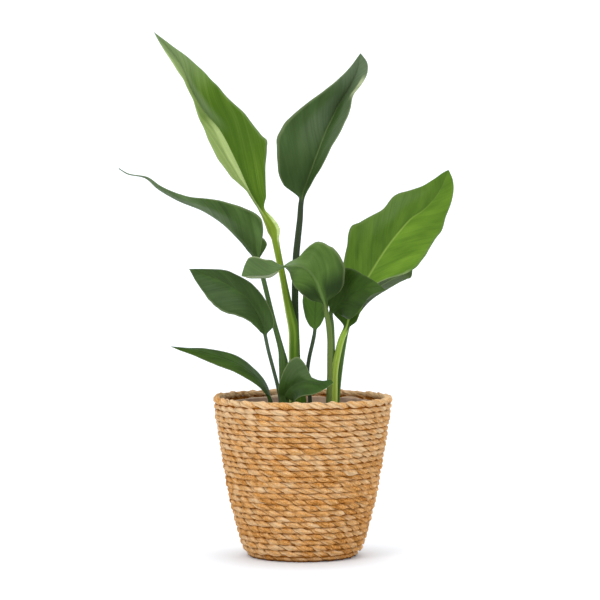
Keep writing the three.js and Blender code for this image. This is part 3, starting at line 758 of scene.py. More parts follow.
leafBuild = {
    "across": 31,            # places across one face, an odd number with the midrib in the middle
    "rings": 150,
    "ringCrowding": 1.1,     # above 1 the rings stand closer together near the foot of the blade
    "columnCrowding": 1.45,  # and the places across closer together near the midrib
    "stalkStep": 5,
    "lineSteps": 60,         # measuring steps between two points of a centre line
    "curlSteps": 12,
    "thickness": 0.75,
    "rootDepth": 25,
    "keelAtTip": 0.5,
    "footShare": 0.06,
    "tipCut": 0.997,
    "turnReach": 0.13,       # share of the blade over which a turn of the midrib is evened out
    "stalkReach": 4,
    "veinSlope": 1.55,
    "furrow": 0.07,          # height of the ribs between the side veins
    "channel": 0.4,          # depth of the groove over the midrib
    "stalkGroove": 0.22,     # and of the one down the stalk, as a share of its depth
    "thinning": 0.45,        # how much thinner the margin is
}

plainLook = {
    "deep": (0.20, 0.29, 0.13), "mid": (0.26, 0.37, 0.175), "light": (0.33, 0.45, 0.22),
    "farSide": (0.36, 0.45, 0.30), "shadow": (0.15, 0.22, 0.09), "bloom": (0.46, 0.52, 0.42),
    "pale": (0.80, 0.84, 0.66), "margin": (0.52, 0.57, 0.40), "marginStrength": 0.55,
    "rib": (0.42, 0.52, 0.27), "ribStrength": 0.7, "ribEnd": 1.0,
    "stemFoot": (0.29, 0.37, 0.22), "stemTop": (0.27, 0.34, 0.24), "stemFade": 1.0,
    "stemStreak": (0.40, 0.48, 0.34), "stemEdge": (0.72, 0.78, 0.42), "stemLitSide": -1.0, "stemLit": 0.0,
    "gloss": 0.40, "sheen": 0.08, "streaks": 0.19,
}


def leafMaterial(name, look):
    material, tree = newMaterial(name)
    look = {key: displayColour(*value) if isinstance(value, tuple) else value for key, value in look.items()}
    across, share, face = readMarks(tree, "leafPlace")
    vein, distance, seed = readMarks(tree, "leafFlow")
    rib, margin, stalk = readMarks(tree, "leafMarks")
    pale, deep, bloom = readMarks(tree, "leafPaint")

    streaks = grain(tree, vein, distance, seed, (230, 16), 3.0)
    broad = grain(tree, vein, distance, seed, (34, 30), 2.0)
    fine = grain(tree, vein, distance, seed, (1100, 40), 2.0)
    tone = reckon(tree, "MULTIPLY_ADD", streaks, look["streaks"], scaled(tree, broad, 0.50))
    tone = reckon(tree, "MULTIPLY_ADD", fine, 0.12, tone)
    middle = 0.31 + look["streaks"] / 2
    colour = colourRamp(tree, tone, (middle - 0.13, look["deep"]), (middle, look["mid"]),
                        (middle + 0.14, look["light"]))
    farSide = mixColours(tree, spread(tree, streaks, 0.3, 0.7), look["farSide"], look["mid"])
    colour = mixColours(tree, face, colour, farSide)

    ribEnd = spread(tree, share, look["ribEnd"] - 0.3, look["ribEnd"], 1.0, 0.2)
    ribFactor = reckon(tree, "MULTIPLY", spread(tree, rib, 0.12, 0.75, 0.0, look["ribStrength"]), ribEnd)
    colour = mixColours(tree, ribFactor, colour, look["rib"])

    lengthwise = grain(tree, across, vein, seed, (9, 9), 3.0)
    stem = colourRamp(tree, reckon(tree, "MULTIPLY_ADD", share, look["stemFade"], 1.0),
                      (0.0, look["stemFoot"]), (1.0, look["stemTop"]))
    stem = mixColours(tree, spread(tree, lengthwise, 0.35, 0.7, 0.0, 0.4), stem, look["stemStreak"])
    # painted highlight down the lit side of the stalk
    lit = spread(tree, scaled(tree, across, look["stemLitSide"]), 0.25, 0.8)
    stem = mixColours(tree, scaled(tree, lit, look["stemLit"]), stem, look["stemEdge"])
    colour = mixColours(tree, stalk, colour, stem)

    streaky = spread(tree, streaks, 0.25, 0.7, 0.55, 1.0)
    # painted shade: where the deep paint lies the leaf turns to its shadow colour
    colour = mixColours(tree, scaled(tree, deep, 0.9, clamp=True), colour, look["shadow"])
    # a waxy bloom with a painted sheen laid over it
    colour = mixColours(tree, scaled(tree, bloom, streaky, clamp=True), colour, look["bloom"])
    colour = mixColours(tree, scaled(tree, pale, streaky, clamp=True), colour, look["pale"])
    colour = mixColours(tree, scaled(tree, margin, look["marginStrength"]), colour, look["margin"])

    bumps = reckon(tree, "MULTIPLY_ADD", fine, 0.35, scaled(tree, streaks, 1.1))
    rough = spread(tree, streaks, 0.3, 0.7, look["gloss"] - 0.05, look["gloss"] + 0.08)
    rough = reckon(tree, "MULTIPLY_ADD", face, 0.12, rough)
    coat(tree, colour, rough, bumps, 0.55, 0.0007, {"Specular IOR Level": look["sheen"]})
    return material


def centreLine(points):  # a smooth path through the points, with the length along it
    ends = np.vstack([2 * points[0] - points[1], points, 2 * points[-1] - points[-2]])
    t = np.linspace(0, 1, leafBuild["lineSteps"], endpoint=False)[:, None]
    path = []
    for a, b, c, d in zip(ends[:-3], ends[1:-2], ends[2:-1], ends[3:]):
        ab, bc, cd = (math.sqrt(np.linalg.norm(q - p)) for p, q in ((a, b), (b, c), (c, d)))
        leaving = ((b - a) / ab - (c - a) / (ab + bc) + (c - b) / bc) * bc
        coming = ((c - b) / bc - (d - b) / (bc + cd) + (d - c) / cd) * bc
        path.append(b + leaving * t + (3 * (c - b) - 2 * leaving - coming) * t ** 2
                    + (2 * (b - c) + leaving + coming) * t ** 3)
    path = np.vstack(path + [points[-1:]])
    lengths = np.concatenate([[0], np.cumsum(np.linalg.norm(np.diff(path, axis=0), axis=1))])
    return path, lengths


def leafLine(leaf):  # the rings of a leaf: where each one lies and which way it faces
    build, steps = leafBuild, leafBuild["lineSteps"]
    x, y, _, halfWidth, halfDepth = leaf["stalk"][0]
    stalk = [(x, y, soil["top"] - build["rootDepth"], halfWidth, halfDepth), *leaf["stalk"]]
    path, lengths = centreLine(np.array([row[:3] for row in stalk] + list(leaf["rib"]), float))
    total = lengths[-1]
    foot = lengths[steps * (len(stalk) - 1)]
    bladeLength = total - foot

    stalkLengths = np.linspace(0, foot, max(8, int(foot / build["stalkStep"])), endpoint=False)
    share = build["tipCut"] * np.linspace(0, 1, build["rings"] + 1) ** build["ringCrowding"]
    length = np.concatenate([stalkLengths, foot + share * bladeLength])
    share = np.concatenate([(stalkLengths - foot) / foot, share])      # -1 at the root end, 0 at the foot
    grown = np.clip(share, 0, 1)
    least = build["stalkReach"]
    reach = least + (build["turnReach"] * bladeLength - least) * np.clip(8 * grown, 0, 1)

    def at(where):
        where = np.clip(where, 0, total)
        return np.stack([np.interp(where, lengths, path[:, axis]) for axis in range(3)], -1)

    forward = unit(at(length + reach) - at(length - reach))
    left = unit(np.cross(forward, back))
    front = unit(np.cross(forward, left))
    sizes = [(lengths[steps * i], row[3], row[4]) for i, row in enumerate(stalk)]
    return SimpleNamespace(centre=at(length), forward=forward, left=left, front=front, length=length,
                           share=share, grown=grown, foot=foot, bladeLength=bladeLength, sizes=sizes)


def bladeSheet(leaf, line):  # the blade as a thin sheet: how far each place lies from the midrib
    grown = line.grown
    even = np.linspace(-1, 1, leafBuild["across"])
    column = np.sign(even) * np.abs(even) ** leafBuild["columnCrowding"]
    outward = np.abs(column)
    isLeft = column < 0

    def eachHalf(place):
        left, right = (profileThrough(leaf[half], grown, place)[:, None] for half in ("left", "right"))
        return np.where(isLeft, left, right)

    unevenness = 0.008 * np.sin(31 * grown + leaf["seed"]) + 0.005 * np.sin(67 * grown + 2.3 * leaf["seed"])
    width = eachHalf(1) * (1 + unevenness[:, None] * np.where(isLeft, 1, -0.8))
    fold = np.radians(eachHalf(2))
    curl = np.radians(np.where(isLeft, *leaf["curl"]))
    sideways, frontways = np.zeros_like(width), np.zeros_like(width)
    steps = leafBuild["curlSteps"]
    for step in range(steps):
        turn = fold + curl * outward * (step + 0.5) / steps
        sideways += np.cos(turn) * width * outward / steps
        frontways += np.sin(turn) * width * outward / steps
    sideways *= np.where(isLeft, 1, -1)

    waves, waveHeight = leaf["waves"]
    phase = fullTurn * waves * grown[:, None] + np.where(isLeft, 0, 2)
    ripple = waveHeight * outward ** 2 * np.sin(phase) * np.sin(math.pi * grown)[:, None]
    distance = width * outward
    vein = (grown * line.bladeLength)[:, None] - leaf.get("veinSlope", leafBuild["veinSlope"]) * distance
    furrow = np.sin(vein * 0.72 + 2.1 * np.sin(vein * 0.11 + leaf["seed"]))
    furrow = leafBuild["furrow"] * (furrow * (0.45 + 0.55 * np.sin(vein * 0.23)))
    furrow = furrow * np.sin(math.pi * outward) * easeBetween(grown, 0.03, 0.15)[:, None]
    frontways += (ripple + furrow) * easeBetween(1 - grown, 0, 0.1)[:, None]
    return SimpleNamespace(column=column, outward=outward, width=width, distance=distance, vein=vein,
                           sideways=sideways, frontways=frontways)


def leafRings(leaf, line, sheet):  # closed rings: round on the stalk, and flat with a keel on the blade
    count, grown = leafBuild["across"], line.grown
    underFront = leaf.get("underFront", False)
    blade = (line.centre[:, None] + line.left[:, None] * sheet.sideways[..., None]
             + line.front[:, None] * sheet.frontways[..., None])
    before = blade[:, np.maximum(np.arange(count) - 1, 0)]
    after = blade[:, np.minimum(np.arange(count) + 1, count - 1)]
    normal = unit(np.cross(after - before, line.forward[:, None]))

    footWidth, footDepth = line.sizes[-1][1:]
    ribHalf = (footWidth + (1 - footWidth) * grown)[:, None]
    ribMark = np.clip(1 - sheet.distance / np.minimum(ribHalf, 0.3 * sheet.width + 0.01), 0, 1)
    keel = (footDepth + (leafBuild["keelAtTip"] - footDepth) * np.minimum(1, 1.15 * grown ** 0.6))[:, None]
    rounded = keel * (1 - (1 - ribMark) ** 2)
    channel = leafBuild["channel"] * ribMark * easeBetween(grown, 0.05, 0.2)[:, None]
    channel = channel * easeBetween(1 - grown, 0, 0.3)[:, None]
    half = leafBuild["thickness"] / 2 * (1 - leafBuild["thinning"] * sheet.outward ** 8)
    rise = half + (rounded if underFront else -channel)
    drop = half + (-channel if underFront else rounded)
    onFront, onBack = blade + normal * rise[..., None], blade - normal * drop[..., None]

    around = math.pi - (np.arange(2 * count) + 0.5) * math.pi / count
    stemWidth = profileThrough(line.sizes, line.length, 1)[:, None]
    stemDepth = profileThrough(line.sizes, line.length, 2)[:, None]
    grooveAt = -math.pi / 2 if underFront else math.pi / 2
    groove = 1 - leafBuild["stalkGroove"] * np.exp(-((around - grooveAt) / 0.34) ** 2)
    stemRing = (line.centre[:, None] - line.left[:, None] * (stemWidth * np.cos(around))[..., None]
                + line.front[:, None] * (stemDepth * np.sin(around) * groove)[..., None])
    flattened = easeBetween(line.share, 0, leafBuild["footShare"])[:, None, None]
    return stemRing * (1 - flattened) + np.concatenate([onFront, onBack[:, ::-1]], 1) * flattened, ribMark


def leafFaces(rings, size):
    faces = ringFaces(rings, size)
    last = (rings - 1) * size
    for k in range(size // 2 - 1):
        far = size - 1 - k
        faces.append((k, far, far - 1, k + 1))
        faces.append((last + k, last + k + 1, last + far - 1, last + far))
    return faces


def paintLeaf(rows, across, share):  # how strongly each kind of paint lies at each vertex
    paint = {what: np.zeros(len(across)) for what in ("pale", "deep", "bloom")}
    outward = np.abs(across)
    for what, half, low, high, start, end, soft, strength in rows:
        mask = easeBetween(outward, low - soft, low + soft) if low > 0 else 1.0
        mask = mask * (1 - easeBetween(outward, high - soft, high + soft) if high < 1 else 1.0)
        mask = mask * easeBetween(share, start - soft, start + soft)
        mask = mask * (1 - easeBetween(share, end - soft, end + soft) if end < 1 else 1.0)
        if half != "both":
            mask = mask * ((across < 0) == (half == "left"))
        paint[what] = np.maximum(paint[what], strength * mask)
    return np.stack(list(paint.values()), -1)


def growLeaf(leaf):
    line = leafLine(leaf)
    sheet = bladeSheet(leaf, line)
    rings, ribMark = leafRings(leaf, line, sheet)
    count, size = len(rings), rings.shape[1]
    onStalk = (line.share < 0)[:, None]

    def both(values):  # the same on the front and on the back
        values = np.broadcast_to(values, (count, size // 2))
        return np.concatenate([values, values[:, ::-1]], 1).ravel()

    across, share = both(sheet.column), both(line.share[:, None])
    face = np.tile(np.repeat([0.0, 1.0], size // 2), count)
    strips = both(np.where(onStalk, (line.length - line.foot)[:, None], sheet.vein))
    margin = easeBetween(sheet.outward, 0.955, 0.995) * easeBetween(line.grown, 0.02, 0.06)[:, None]
    stalk = 1 - easeBetween(line.share, -0.015, 0.035)[:, None]
    seeds = np.full(count * size, leaf["seed"])
    marks = {
        "leafPlace": np.stack([across, share, face], -1),
        "leafFlow": np.stack([strips * mm, both(sheet.distance) * mm, seeds], -1),
        "leafMarks": np.stack([both(np.where(onStalk, 0, ribMark)), both(margin), both(stalk)], -1),
        "leafPaint": paintLeaf(leaf.get("paint", ()), across, share),
    }
    material = leafMaterial(leaf["piece"] + "Skin", {**plainLook, **leaf["look"]})
    makePiece(leaf["piece"], rings.reshape(-1, 3), leafFaces(count, size), material, [leaf["node"]],
              marks)


tallLeftLeaf = {
    "piece": "tallLeftLeaf", "node": "leaf_tall_left", "slot": "leaf_bright", "seed": 3,
    "stalk": (
        (-6, -5, 190, 10.5, 4.2), (-9, -5, 216, 8, 4.2), (-10.5, -5, 245, 6.6, 4), (-11, -4.5, 277, 6.5, 4),
        (-15.5, -3.5, 298, 5.6, 3.8), (-19, -3, 314, 4.8, 3.6), (-25, -1, 345, 4, 3.2), (-31, 1, 374, 4.2, 3),
        (-33.5, 2, 388, 4.6, 2.8), (-35.5, 4, 399, 8, 2.4), (-40.5, 5, 409, 6.6, 2.4),
        (-48, 6, 420, 3.8, 2.6),
    ),
    "rib": (
        (-61, 9, 439), (-80, 19, 480), (-102, 29, 522), (-121, 34, 544), (-136, 38, 568), (-150, 43, 601),
        (-165, 46, 622), (-184, 49, 643),
    ),
    "left": (
        (0, 3, 80), (0.1, 22, 84), (0.15, 28, 75), (0.2, 33, 66), (0.3, 42, 64), (0.4, 42, 65.5),
        (0.5, 36, 71), (0.56, 33, 79), (0.62, 30, 85), (0.7, 26, 84), (0.8, 16, 64), (0.9, 9, 50), (1, 0, 40),
    ),
    "right": (
        (0, 4, 0), (0.03, 10, 0), (0.1, 20, 0), (0.2, 31, 2), (0.27, 41, 4), (0.3, 45.5, 5), (0.33, 42, 5),
        (0.5, 34.5, 6), (0.6, 32.5, 6), (0.7, 25.5, 6), (0.8, 14, 12), (0.9, 6, 40), (1, 0, 40),
    ),
    "curl": (0, -14),
    "waves": (3, 0.6),
    "veinSlope": 4,
    "look": {
        "deep": (0.245, 0.37, 0.065), "mid": (0.30, 0.42, 0.085), "light": (0.39, 0.50, 0.18),
        "farSide": (0.47, 0.58, 0.34), "shadow": (0.23, 0.35, 0.07), "bloom": (0.54, 0.61, 0.45),
        "pale": (0.79, 0.865, 0.58), "rib": (0.33, 0.45, 0.14), "ribStrength": 0.75, "marginStrength": 0.2,
        "stemFoot": (0.25, 0.38, 0.08), "stemTop": (0.47, 0.56, 0.14), "stemStreak": (0.50, 0.60, 0.25),
        "stemEdge": (0.84, 0.87, 0.55), "stemLit": 0.55, "stemFade": 1.25, "streaks": 0.40,
    },
    "paint": [
        ("pale", "left", 0.0, 0.42, 0.02, 0.50, 0.08, 0.92),
        ("pale", "left", 0.0, 1.0, 0.02, 0.52, 0.10, 0.42),
        ("pale", "left", 0.0, 1.0, 0.52, 0.80, 0.10, 0.36),
        ("pale", "right", 0.20, 1.0, -0.15, -0.02, 0.03, 0.90),
        ("deep", "right", 0.15, 1.0, -1.0, -0.36, 0.08, 0.95),
        ("deep", "left", 0.0, 0.45, -1.0, -0.55, 0.10, 0.80),
        ("bloom", "right", 0.0, 0.25, 0.50, 0.95, 0.12, 0.65),
        ("bloom", "right", 0.96, 1.0, 0.20, 0.97, 0.03, 0.35),
        ("deep", "right", 0.02, 0.18, 0.02, 0.62, 0.05, 0.75),
        ("deep", "right", 0.10, 0.95, 0.25, 0.60, 0.14, 0.65),
        ("bloom", "both", 0.0, 1.0, 0.74, 1.0, 0.14, 0.70),
        ("deep", "both", 0.0, 1.0, 0.95, 1.0, 0.04, 0.80),
        ("pale", "left", 0.80, 1.0, 0.50, 0.92, 0.06, 0.50),
        ("pale", "left", 0.4, 1.0, -0.75, -0.30, 0.14, 0.25),
    ],
}
growLeaf(tallLeftLeaf)

tallRightLeaf = {
    "piece": "tallRightLeaf", "node": "leaf_tall_right", "slot": "leaf_dark", "seed": 11,
    "stalk": (
        (-4.5, 7.5, 190, 7.5, 4), (-6.5, 8, 215, 5.2, 3.9), (-7.6, 9, 250, 4.4, 3.8),
        (-9.4, 12, 313, 4.2, 3.8), (-8.2, 15, 365, 4.2, 3.8), (-6, 17, 388, 4.0, 3.6),
        (-3.4, 20, 412, 3.7, 3.3), (-1.5, 22, 435, 3.2, 3),
    ),
    "rib": (
        (5, 26, 455), (12, 30, 475), (21, 36, 499), (29, 42, 520), (36, 47, 535), (45, 53, 554),
        (58, 60, 575), (68, 67, 597), (72, 73, 618),
    ),
    "left": (
        (0, 4, 0), (0.03, 18, 0), (0.06, 27, 2), (0.1, 35, 4), (0.2, 46, 6), (0.33, 54, 8), (0.4, 52, 8),
        (0.5, 42, 14), (0.6, 34, 38), (0.7, 26, 46), (0.8, 19, 46), (0.9, 11, 48), (1, 0, 48),
    ),
    "right": (
        (0, 3, 70), (0.05, 18, 78), (0.1, 30, 79), (0.2, 42, 76), (0.3, 48, 75), (0.4, 48, 71), (0.5, 44, 68),
        (0.6, 36, 66), (0.7, 27, 69), (0.8, 20, 54), (0.9, 13.5, 20), (0.95, 10.5, 0), (1, 0, 0),
    ),
    "curl": (-14, 0),
    "waves": (3, 0.8),
    "look": {
        "deep": (0.185, 0.265, 0.125), "mid": (0.235, 0.325, 0.165), "light": (0.285, 0.38, 0.21),
        "farSide": (0.62, 0.68, 0.56), "shadow": (0.135, 0.215, 0.07), "rib": (0.38, 0.46, 0.27),
        "ribStrength": 0.8, "bloom": (0.37, 0.43, 0.33), "stemFoot": (0.15, 0.28, 0.05),
        "stemTop": (0.195, 0.225, 0.165), "stemStreak": (0.26, 0.30, 0.22),
    },
    "paint": [
        ("deep", "both", 0.0, 1.0, 0.0, 0.20, 0.14, 0.70),
        ("bloom", "left", 0.05, 0.55, 0.36, 0.74, 0.14, 0.55),
        ("bloom", "right", 0.40, 1.0, 0.30, 0.80, 0.14, 0.60),
        ("bloom", "both", 0.0, 1.0, 0.72, 1.0, 0.14, 0.85),
        ("pale", "right", 0.70, 1.0, 0.69, 0.84, 0.04, 0.60),
    ],
}
growLeaf(tallRightLeaf)

archingLeftLeaf = {
    "piece": "archingLeftLeaf", "node": "leaf_arching_left", "slot": "leaf_dark", "seed": 17,
    "underFront": True,
    "stalk": (
        (-21.8, 4.5, 190, 6.8, 3.2), (-22.6, 4, 212, 6.2, 3.2), (-23.6, 3.4, 236, 5.8, 3.2),
        (-26, 2.8, 251, 4, 3.1), (-29.8, 2, 266, 3.4, 3), (-36, 1, 289, 3.2, 3), (-42, 0, 314, 3, 2.8),
        (-48, -2, 339, 3, 2.8), (-53, -4, 358, 2.8, 2.8),
    ),
    "rib": (
        (-60, -7, 368), (-69, -11, 380), (-80, -15, 392), (-94, -20, 406), (-109, -25, 417), (-123, -31, 425),
        (-150, -42, 436), (-174, -50, 450), (-189, -56, 463), (-210, -61, 468), (-221, -64, 475),
    ),
    "left": (
        (0, 5, -150), (0.03, 20, -155), (0.07, 24, -158), (0.12, 25, -140), (0.2, 33, -112), (0.35, 34, -105),
        (0.5, 26, -100), (0.7, 14, -96), (0.85, 6, -93), (1, 0, -90),
    ),
    "right": (
        (0, 2, 20), (0.05, 9, 18), (0.1, 20, 12), (0.15, 31, 10), (0.2, 37, 14), (0.3, 35, 32), (0.4, 30, 46),
        (0.5, 24, 56), (0.6, 18, 64), (0.7, 13, 66), (0.8, 7.5, 70), (0.9, 3.5, 78), (1, 0, 78),
    ),
    "curl": (0, -8),
    "waves": (3, 0.8),
    "look": {
        "deep": (0.20, 0.285, 0.125), "mid": (0.262, 0.358, 0.163), "light": (0.335, 0.44, 0.23),
        "farSide": (0.285, 0.39, 0.175), "shadow": (0.155, 0.22, 0.095), "bloom": (0.47, 0.50, 0.44),
        "rib": (0.36, 0.44, 0.30), "streaks": 0.22, "stemFoot": (0.31, 0.42, 0.19),
        "stemTop": (0.26, 0.35, 0.20), "stemStreak": (0.38, 0.48, 0.27),
    },
    "paint": [
        ("bloom", "right", 0.0, 0.30, 0.30, 1.0, 0.14, 0.45),
        ("bloom", "both", 0.0, 1.0, 0.76, 1.0, 0.12, 0.30),
        ("deep", "right", 0.0, 0.5, 0.0, 0.24, 0.12, 0.55),
    ],
}
growLeaf(archingLeftLeaf)

midLeftLeaf = {
    "piece": "midLeftLeaf", "node": "leaf_mid_left", "slot": "leaf_dark", "seed": 23,
    "stalk": (
        (-27, -14, 190, 2.4, 2.4), (-30, -15, 207, 2.3, 2.3), (-35, -17, 227, 2.2, 2.2),
        (-42, -21, 254, 2.2, 2.2), (-45.5, -24, 271, 2.2, 2.2),
    ),
    "rib": (
        (-48.5, -27, 284), (-55, -31, 299), (-67, -38, 317), (-81, -46, 328), (-95, -54, 337),
        (-111, -62, 344), (-136, -72, 354),
    ),
    "left": (
        (0, 2, 50), (0.1, 13, 64), (0.2, 21, 62), (0.3, 26, 54), (0.4, 29, 38), (0.5, 30.5, 20),
        (0.6, 30.5, 6), (0.7, 27, 4), (0.8, 20, 2), (0.9, 11, 0), (1, 0, 0),
    ),
    "right": (
        (0, 4, -20), (0.05, 12, -15), (0.1, 17, -30), (0.2, 21, -42), (0.3, 24, -48), (0.5, 25, -52),
        (0.6, 24, -54), (0.7, 20, -56), (0.8, 14, -56), (0.9, 7.5, -56), (1, 0, -56),
    ),
    "curl": (-8, 0),
    "waves": (2, 0.8),
    "look": {
        "deep": (0.165, 0.25, 0.10), "mid": (0.22, 0.31, 0.14), "light": (0.28, 0.385, 0.18),
        "bloom": (0.34, 0.40, 0.30), "rib": (0.30, 0.40, 0.20), "ribStrength": 0.25,
        "stemFoot": (0.22, 0.28, 0.18), "stemTop": (0.25, 0.31, 0.23),
    },
    "paint": [
        ("deep", "left", 0.0, 0.6, 0.05, 0.45, 0.12, 0.50),
        ("bloom", "left", 0.2, 0.9, 0.40, 0.90, 0.16, 0.30),
        ("deep", "right", 0.0, 0.3, 0.1, 0.9, 0.10, 0.35),
    ],
}
growLeaf(midLeftLeaf)

lowLeftLeaf = {
    "piece": "lowLeftLeaf", "node": "leaf_low_left", "slot": "leaf_dark", "seed": 29,
    "stalk": ((-37, 5, 176, 2.6, 2.4), (-40, 6, 190, 2.6, 2.4)),
    "rib": (
        (-46, 10, 205), (-59, 16, 219), (-74, 24, 230), (-90, 32, 237), (-112, 42, 243), (-137, 50, 249),
        (-164, 57, 253),
    ),
    "left": (
        (0, 2, 62), (0.1, 10, 64), (0.2, 15, 62), (0.3, 18, 60), (0.45, 20, 60), (0.6, 17, 60),
        (0.75, 12, 60), (0.9, 6, 58), (1, 0, 58),
    ),
    "right": (
        (0, 2, -70), (0.1, 12, -78), (0.2, 16, -74), (0.3, 19, -75), (0.5, 20, -68), (0.6, 18, -66),
        (0.75, 13, -68), (0.9, 5, -80), (1, 0, -80),
    ),
    "curl": (0, 0),
    "waves": (2, 0.5),
    "look": {
        "deep": (0.14, 0.23, 0.02), "mid": (0.18, 0.29, 0.03), "light": (0.235, 0.36, 0.07),
        "rib": (0.16, 0.25, 0.08), "ribStrength": 0.5, "bloom": (0.27, 0.37, 0.09),
        "shadow": (0.10, 0.16, 0.03), "sheen": 0.03, "stemFoot": (0.11, 0.15, 0.07),
        "stemTop": (0.15, 0.22, 0.08),
    },
    "paint": [
        ("bloom", "left", 0.55, 1.0, 0.15, 0.85, 0.14, 0.40),
        # a painted highlight along the margin
        ("pale", "right", 0.95, 1.0, 0.30, 1.0, 0.03, 0.35),
        ("deep", "both", 0.0, 1.0, 0.0, 0.16, 0.12, 0.50),
    ],
}
growLeaf(lowLeftLeaf)

frontLowLeaf = {
    "piece": "frontLowLeaf", "node": "leaf_front_low", "slot": "leaf_dark", "seed": 31,
    "stalk": ((-24, -31, 176, 3.4, 2.6), (-23, -32.5, 195, 5, 2.4)),
    "rib": (
        (-20, -38, 204), (-14, -46, 211), (-4, -57, 217), (9, -70, 218.5), (23, -82, 217), (36.5, -90, 219),
    ),
    "left": (
        (0, 5, 0), (0.08, 9, 0), (0.2, 15, -8), (0.3, 22, -10), (0.38, 29, -12), (0.43, 31, -15),
        (0.49, 22, -26), (0.54, 13.5, -36), (0.6, 8, -52), (0.7, 6.5, -60), (0.85, 6, -55), (0.95, 5, -30),
        (1, 0, -20),
    ),
    "right": (
        (0, 5, 34), (0.08, 13, 38), (0.2, 22, 38), (0.3, 26, 42), (0.45, 28, 44), (0.6, 25.5, 44),
        (0.75, 19.5, 44), (0.9, 9, 46), (1, 0, 46),
    ),
    "curl": (0, 0),
    "waves": (2, 0.3),
    "look": {
        "deep": (0.16, 0.255, 0.085), "mid": (0.205, 0.31, 0.115), "light": (0.255, 0.355, 0.16),
        "bloom": (0.34, 0.40, 0.28), "shadow": (0.13, 0.19, 0.08), "rib": (0.25, 0.34, 0.18),
        "ribStrength": 0.5, "stemFoot": (0.27, 0.38, 0.11), "stemTop": (0.23, 0.33, 0.12),
    },
    "paint": [
        ("bloom", "left", 0.25, 1.0, 0.28, 0.62, 0.12, 0.42),
        ("deep", "right", 0.35, 1.0, 0.10, 0.80, 0.14, 0.45),
        ("deep", "both", 0.0, 0.2, 0.3, 0.9, 0.08, 0.35),
    ],
}
growLeaf(frontLowLeaf)

twistedFrontLeaf = {
    "piece": "twistedFrontLeaf", "node": "leaf_twisted_front", "slot": "leaf_bright", "seed": 37,
    "underFront": True,
    "stalk": (
        (32, -13, 190, 3.4, 3.2), (33, -13, 226, 3.3, 3.1), (33, -14, 243, 3.3, 3.1),
        (33, -17, 266, 3.3, 3.1), (31, -23, 287, 3.2, 3), (28.8, -26, 299, 3, 2.8),
        (26.7, -30, 310, 2.8, 2.8),
    ),
    "rib": (
        (22, -36, 324), (18, -40, 335), (12.5, -44, 345), (5, -48, 353), (-4.5, -52, 357), (-13.5, -56, 357),
        (-22, -58, 356), (-32, -59, 351), (-41, -59, 347), (-54, -57, 346), (-65, -55, 346), (-74, -52, 345),
    ),
    "left": (
        (0, 3, -10), (0.05, 12, -14), (0.1, 19, -18), (0.2, 26, -22), (0.3, 28, -26), (0.38, 27, -32),
        (0.44, 25, -46), (0.5, 23, -72), (0.56, 22, -92), (0.62, 21, -108), (0.7, 21, -140), (0.8, 22, -160),
        (0.88, 23.5, -165), (0.935, 22, -165), (0.97, 14, -165), (1, 0, -165),
    ),
    "right": (
        (0, 3, -5), (0.04, 18, -5), (0.1, 29, -5), (0.16, 34, -4), (0.24, 40, -4), (0.29, 41, -4),
        (0.33, 41, -5), (0.345, 39.5, -6), (0.375, 38, -7), (0.395, 36, -14), (0.41, 29, -42),
        (0.43, 23, -62), (0.46, 21, -70), (0.52, 22, -78), (0.6, 26, -90), (0.75, 25, -97), (0.88, 20, -100),
        (0.95, 13, -104), (1, 0, -104),
    ),
    "curl": (8, -8),
    "waves": (2, 0.5),
    "look": {
        "deep": (0.235, 0.34, 0.125), "mid": (0.29, 0.40, 0.16), "light": (0.36, 0.475, 0.22),
        "farSide": (0.27, 0.37, 0.19), "shadow": (0.115, 0.185, 0.065), "bloom": (0.42, 0.50, 0.34),
        "rib": (0.36, 0.455, 0.24), "ribStrength": 0.75, "stemFoot": (0.41, 0.48, 0.22),
        "stemTop": (0.33, 0.41, 0.19), "stemStreak": (0.48, 0.54, 0.32),
    },
    "paint": [
        ("deep", "both", 0.15, 1.0, 0.0, 0.22, 0.10, 1.0),
        ("deep", "both", 0.0, 1.0, 0.72, 0.94, 0.06, 0.40),
        ("deep", "right", 0.75, 1.0, 0.10, 0.30, 0.12, 0.70),
        ("bloom", "both", 0.0, 1.0, 0.44, 1.0, 0.10, 0.32),
        ("bloom", "right", 0.0, 1.0, 0.5, 1.0, 0.10, 0.20),
        ("deep", "right", 0.0, 0.7, 0.26, 0.46, 0.08, 0.22),
        ("pale", "left", 0.93, 1.0, 0.50, 1.0, 0.03, 0.45),
        ("pale", "right", 0.10, 1.0, 0.60, 1.0, 0.04, 0.60),
    ],
}
growLeaf(twistedFrontLeaf)

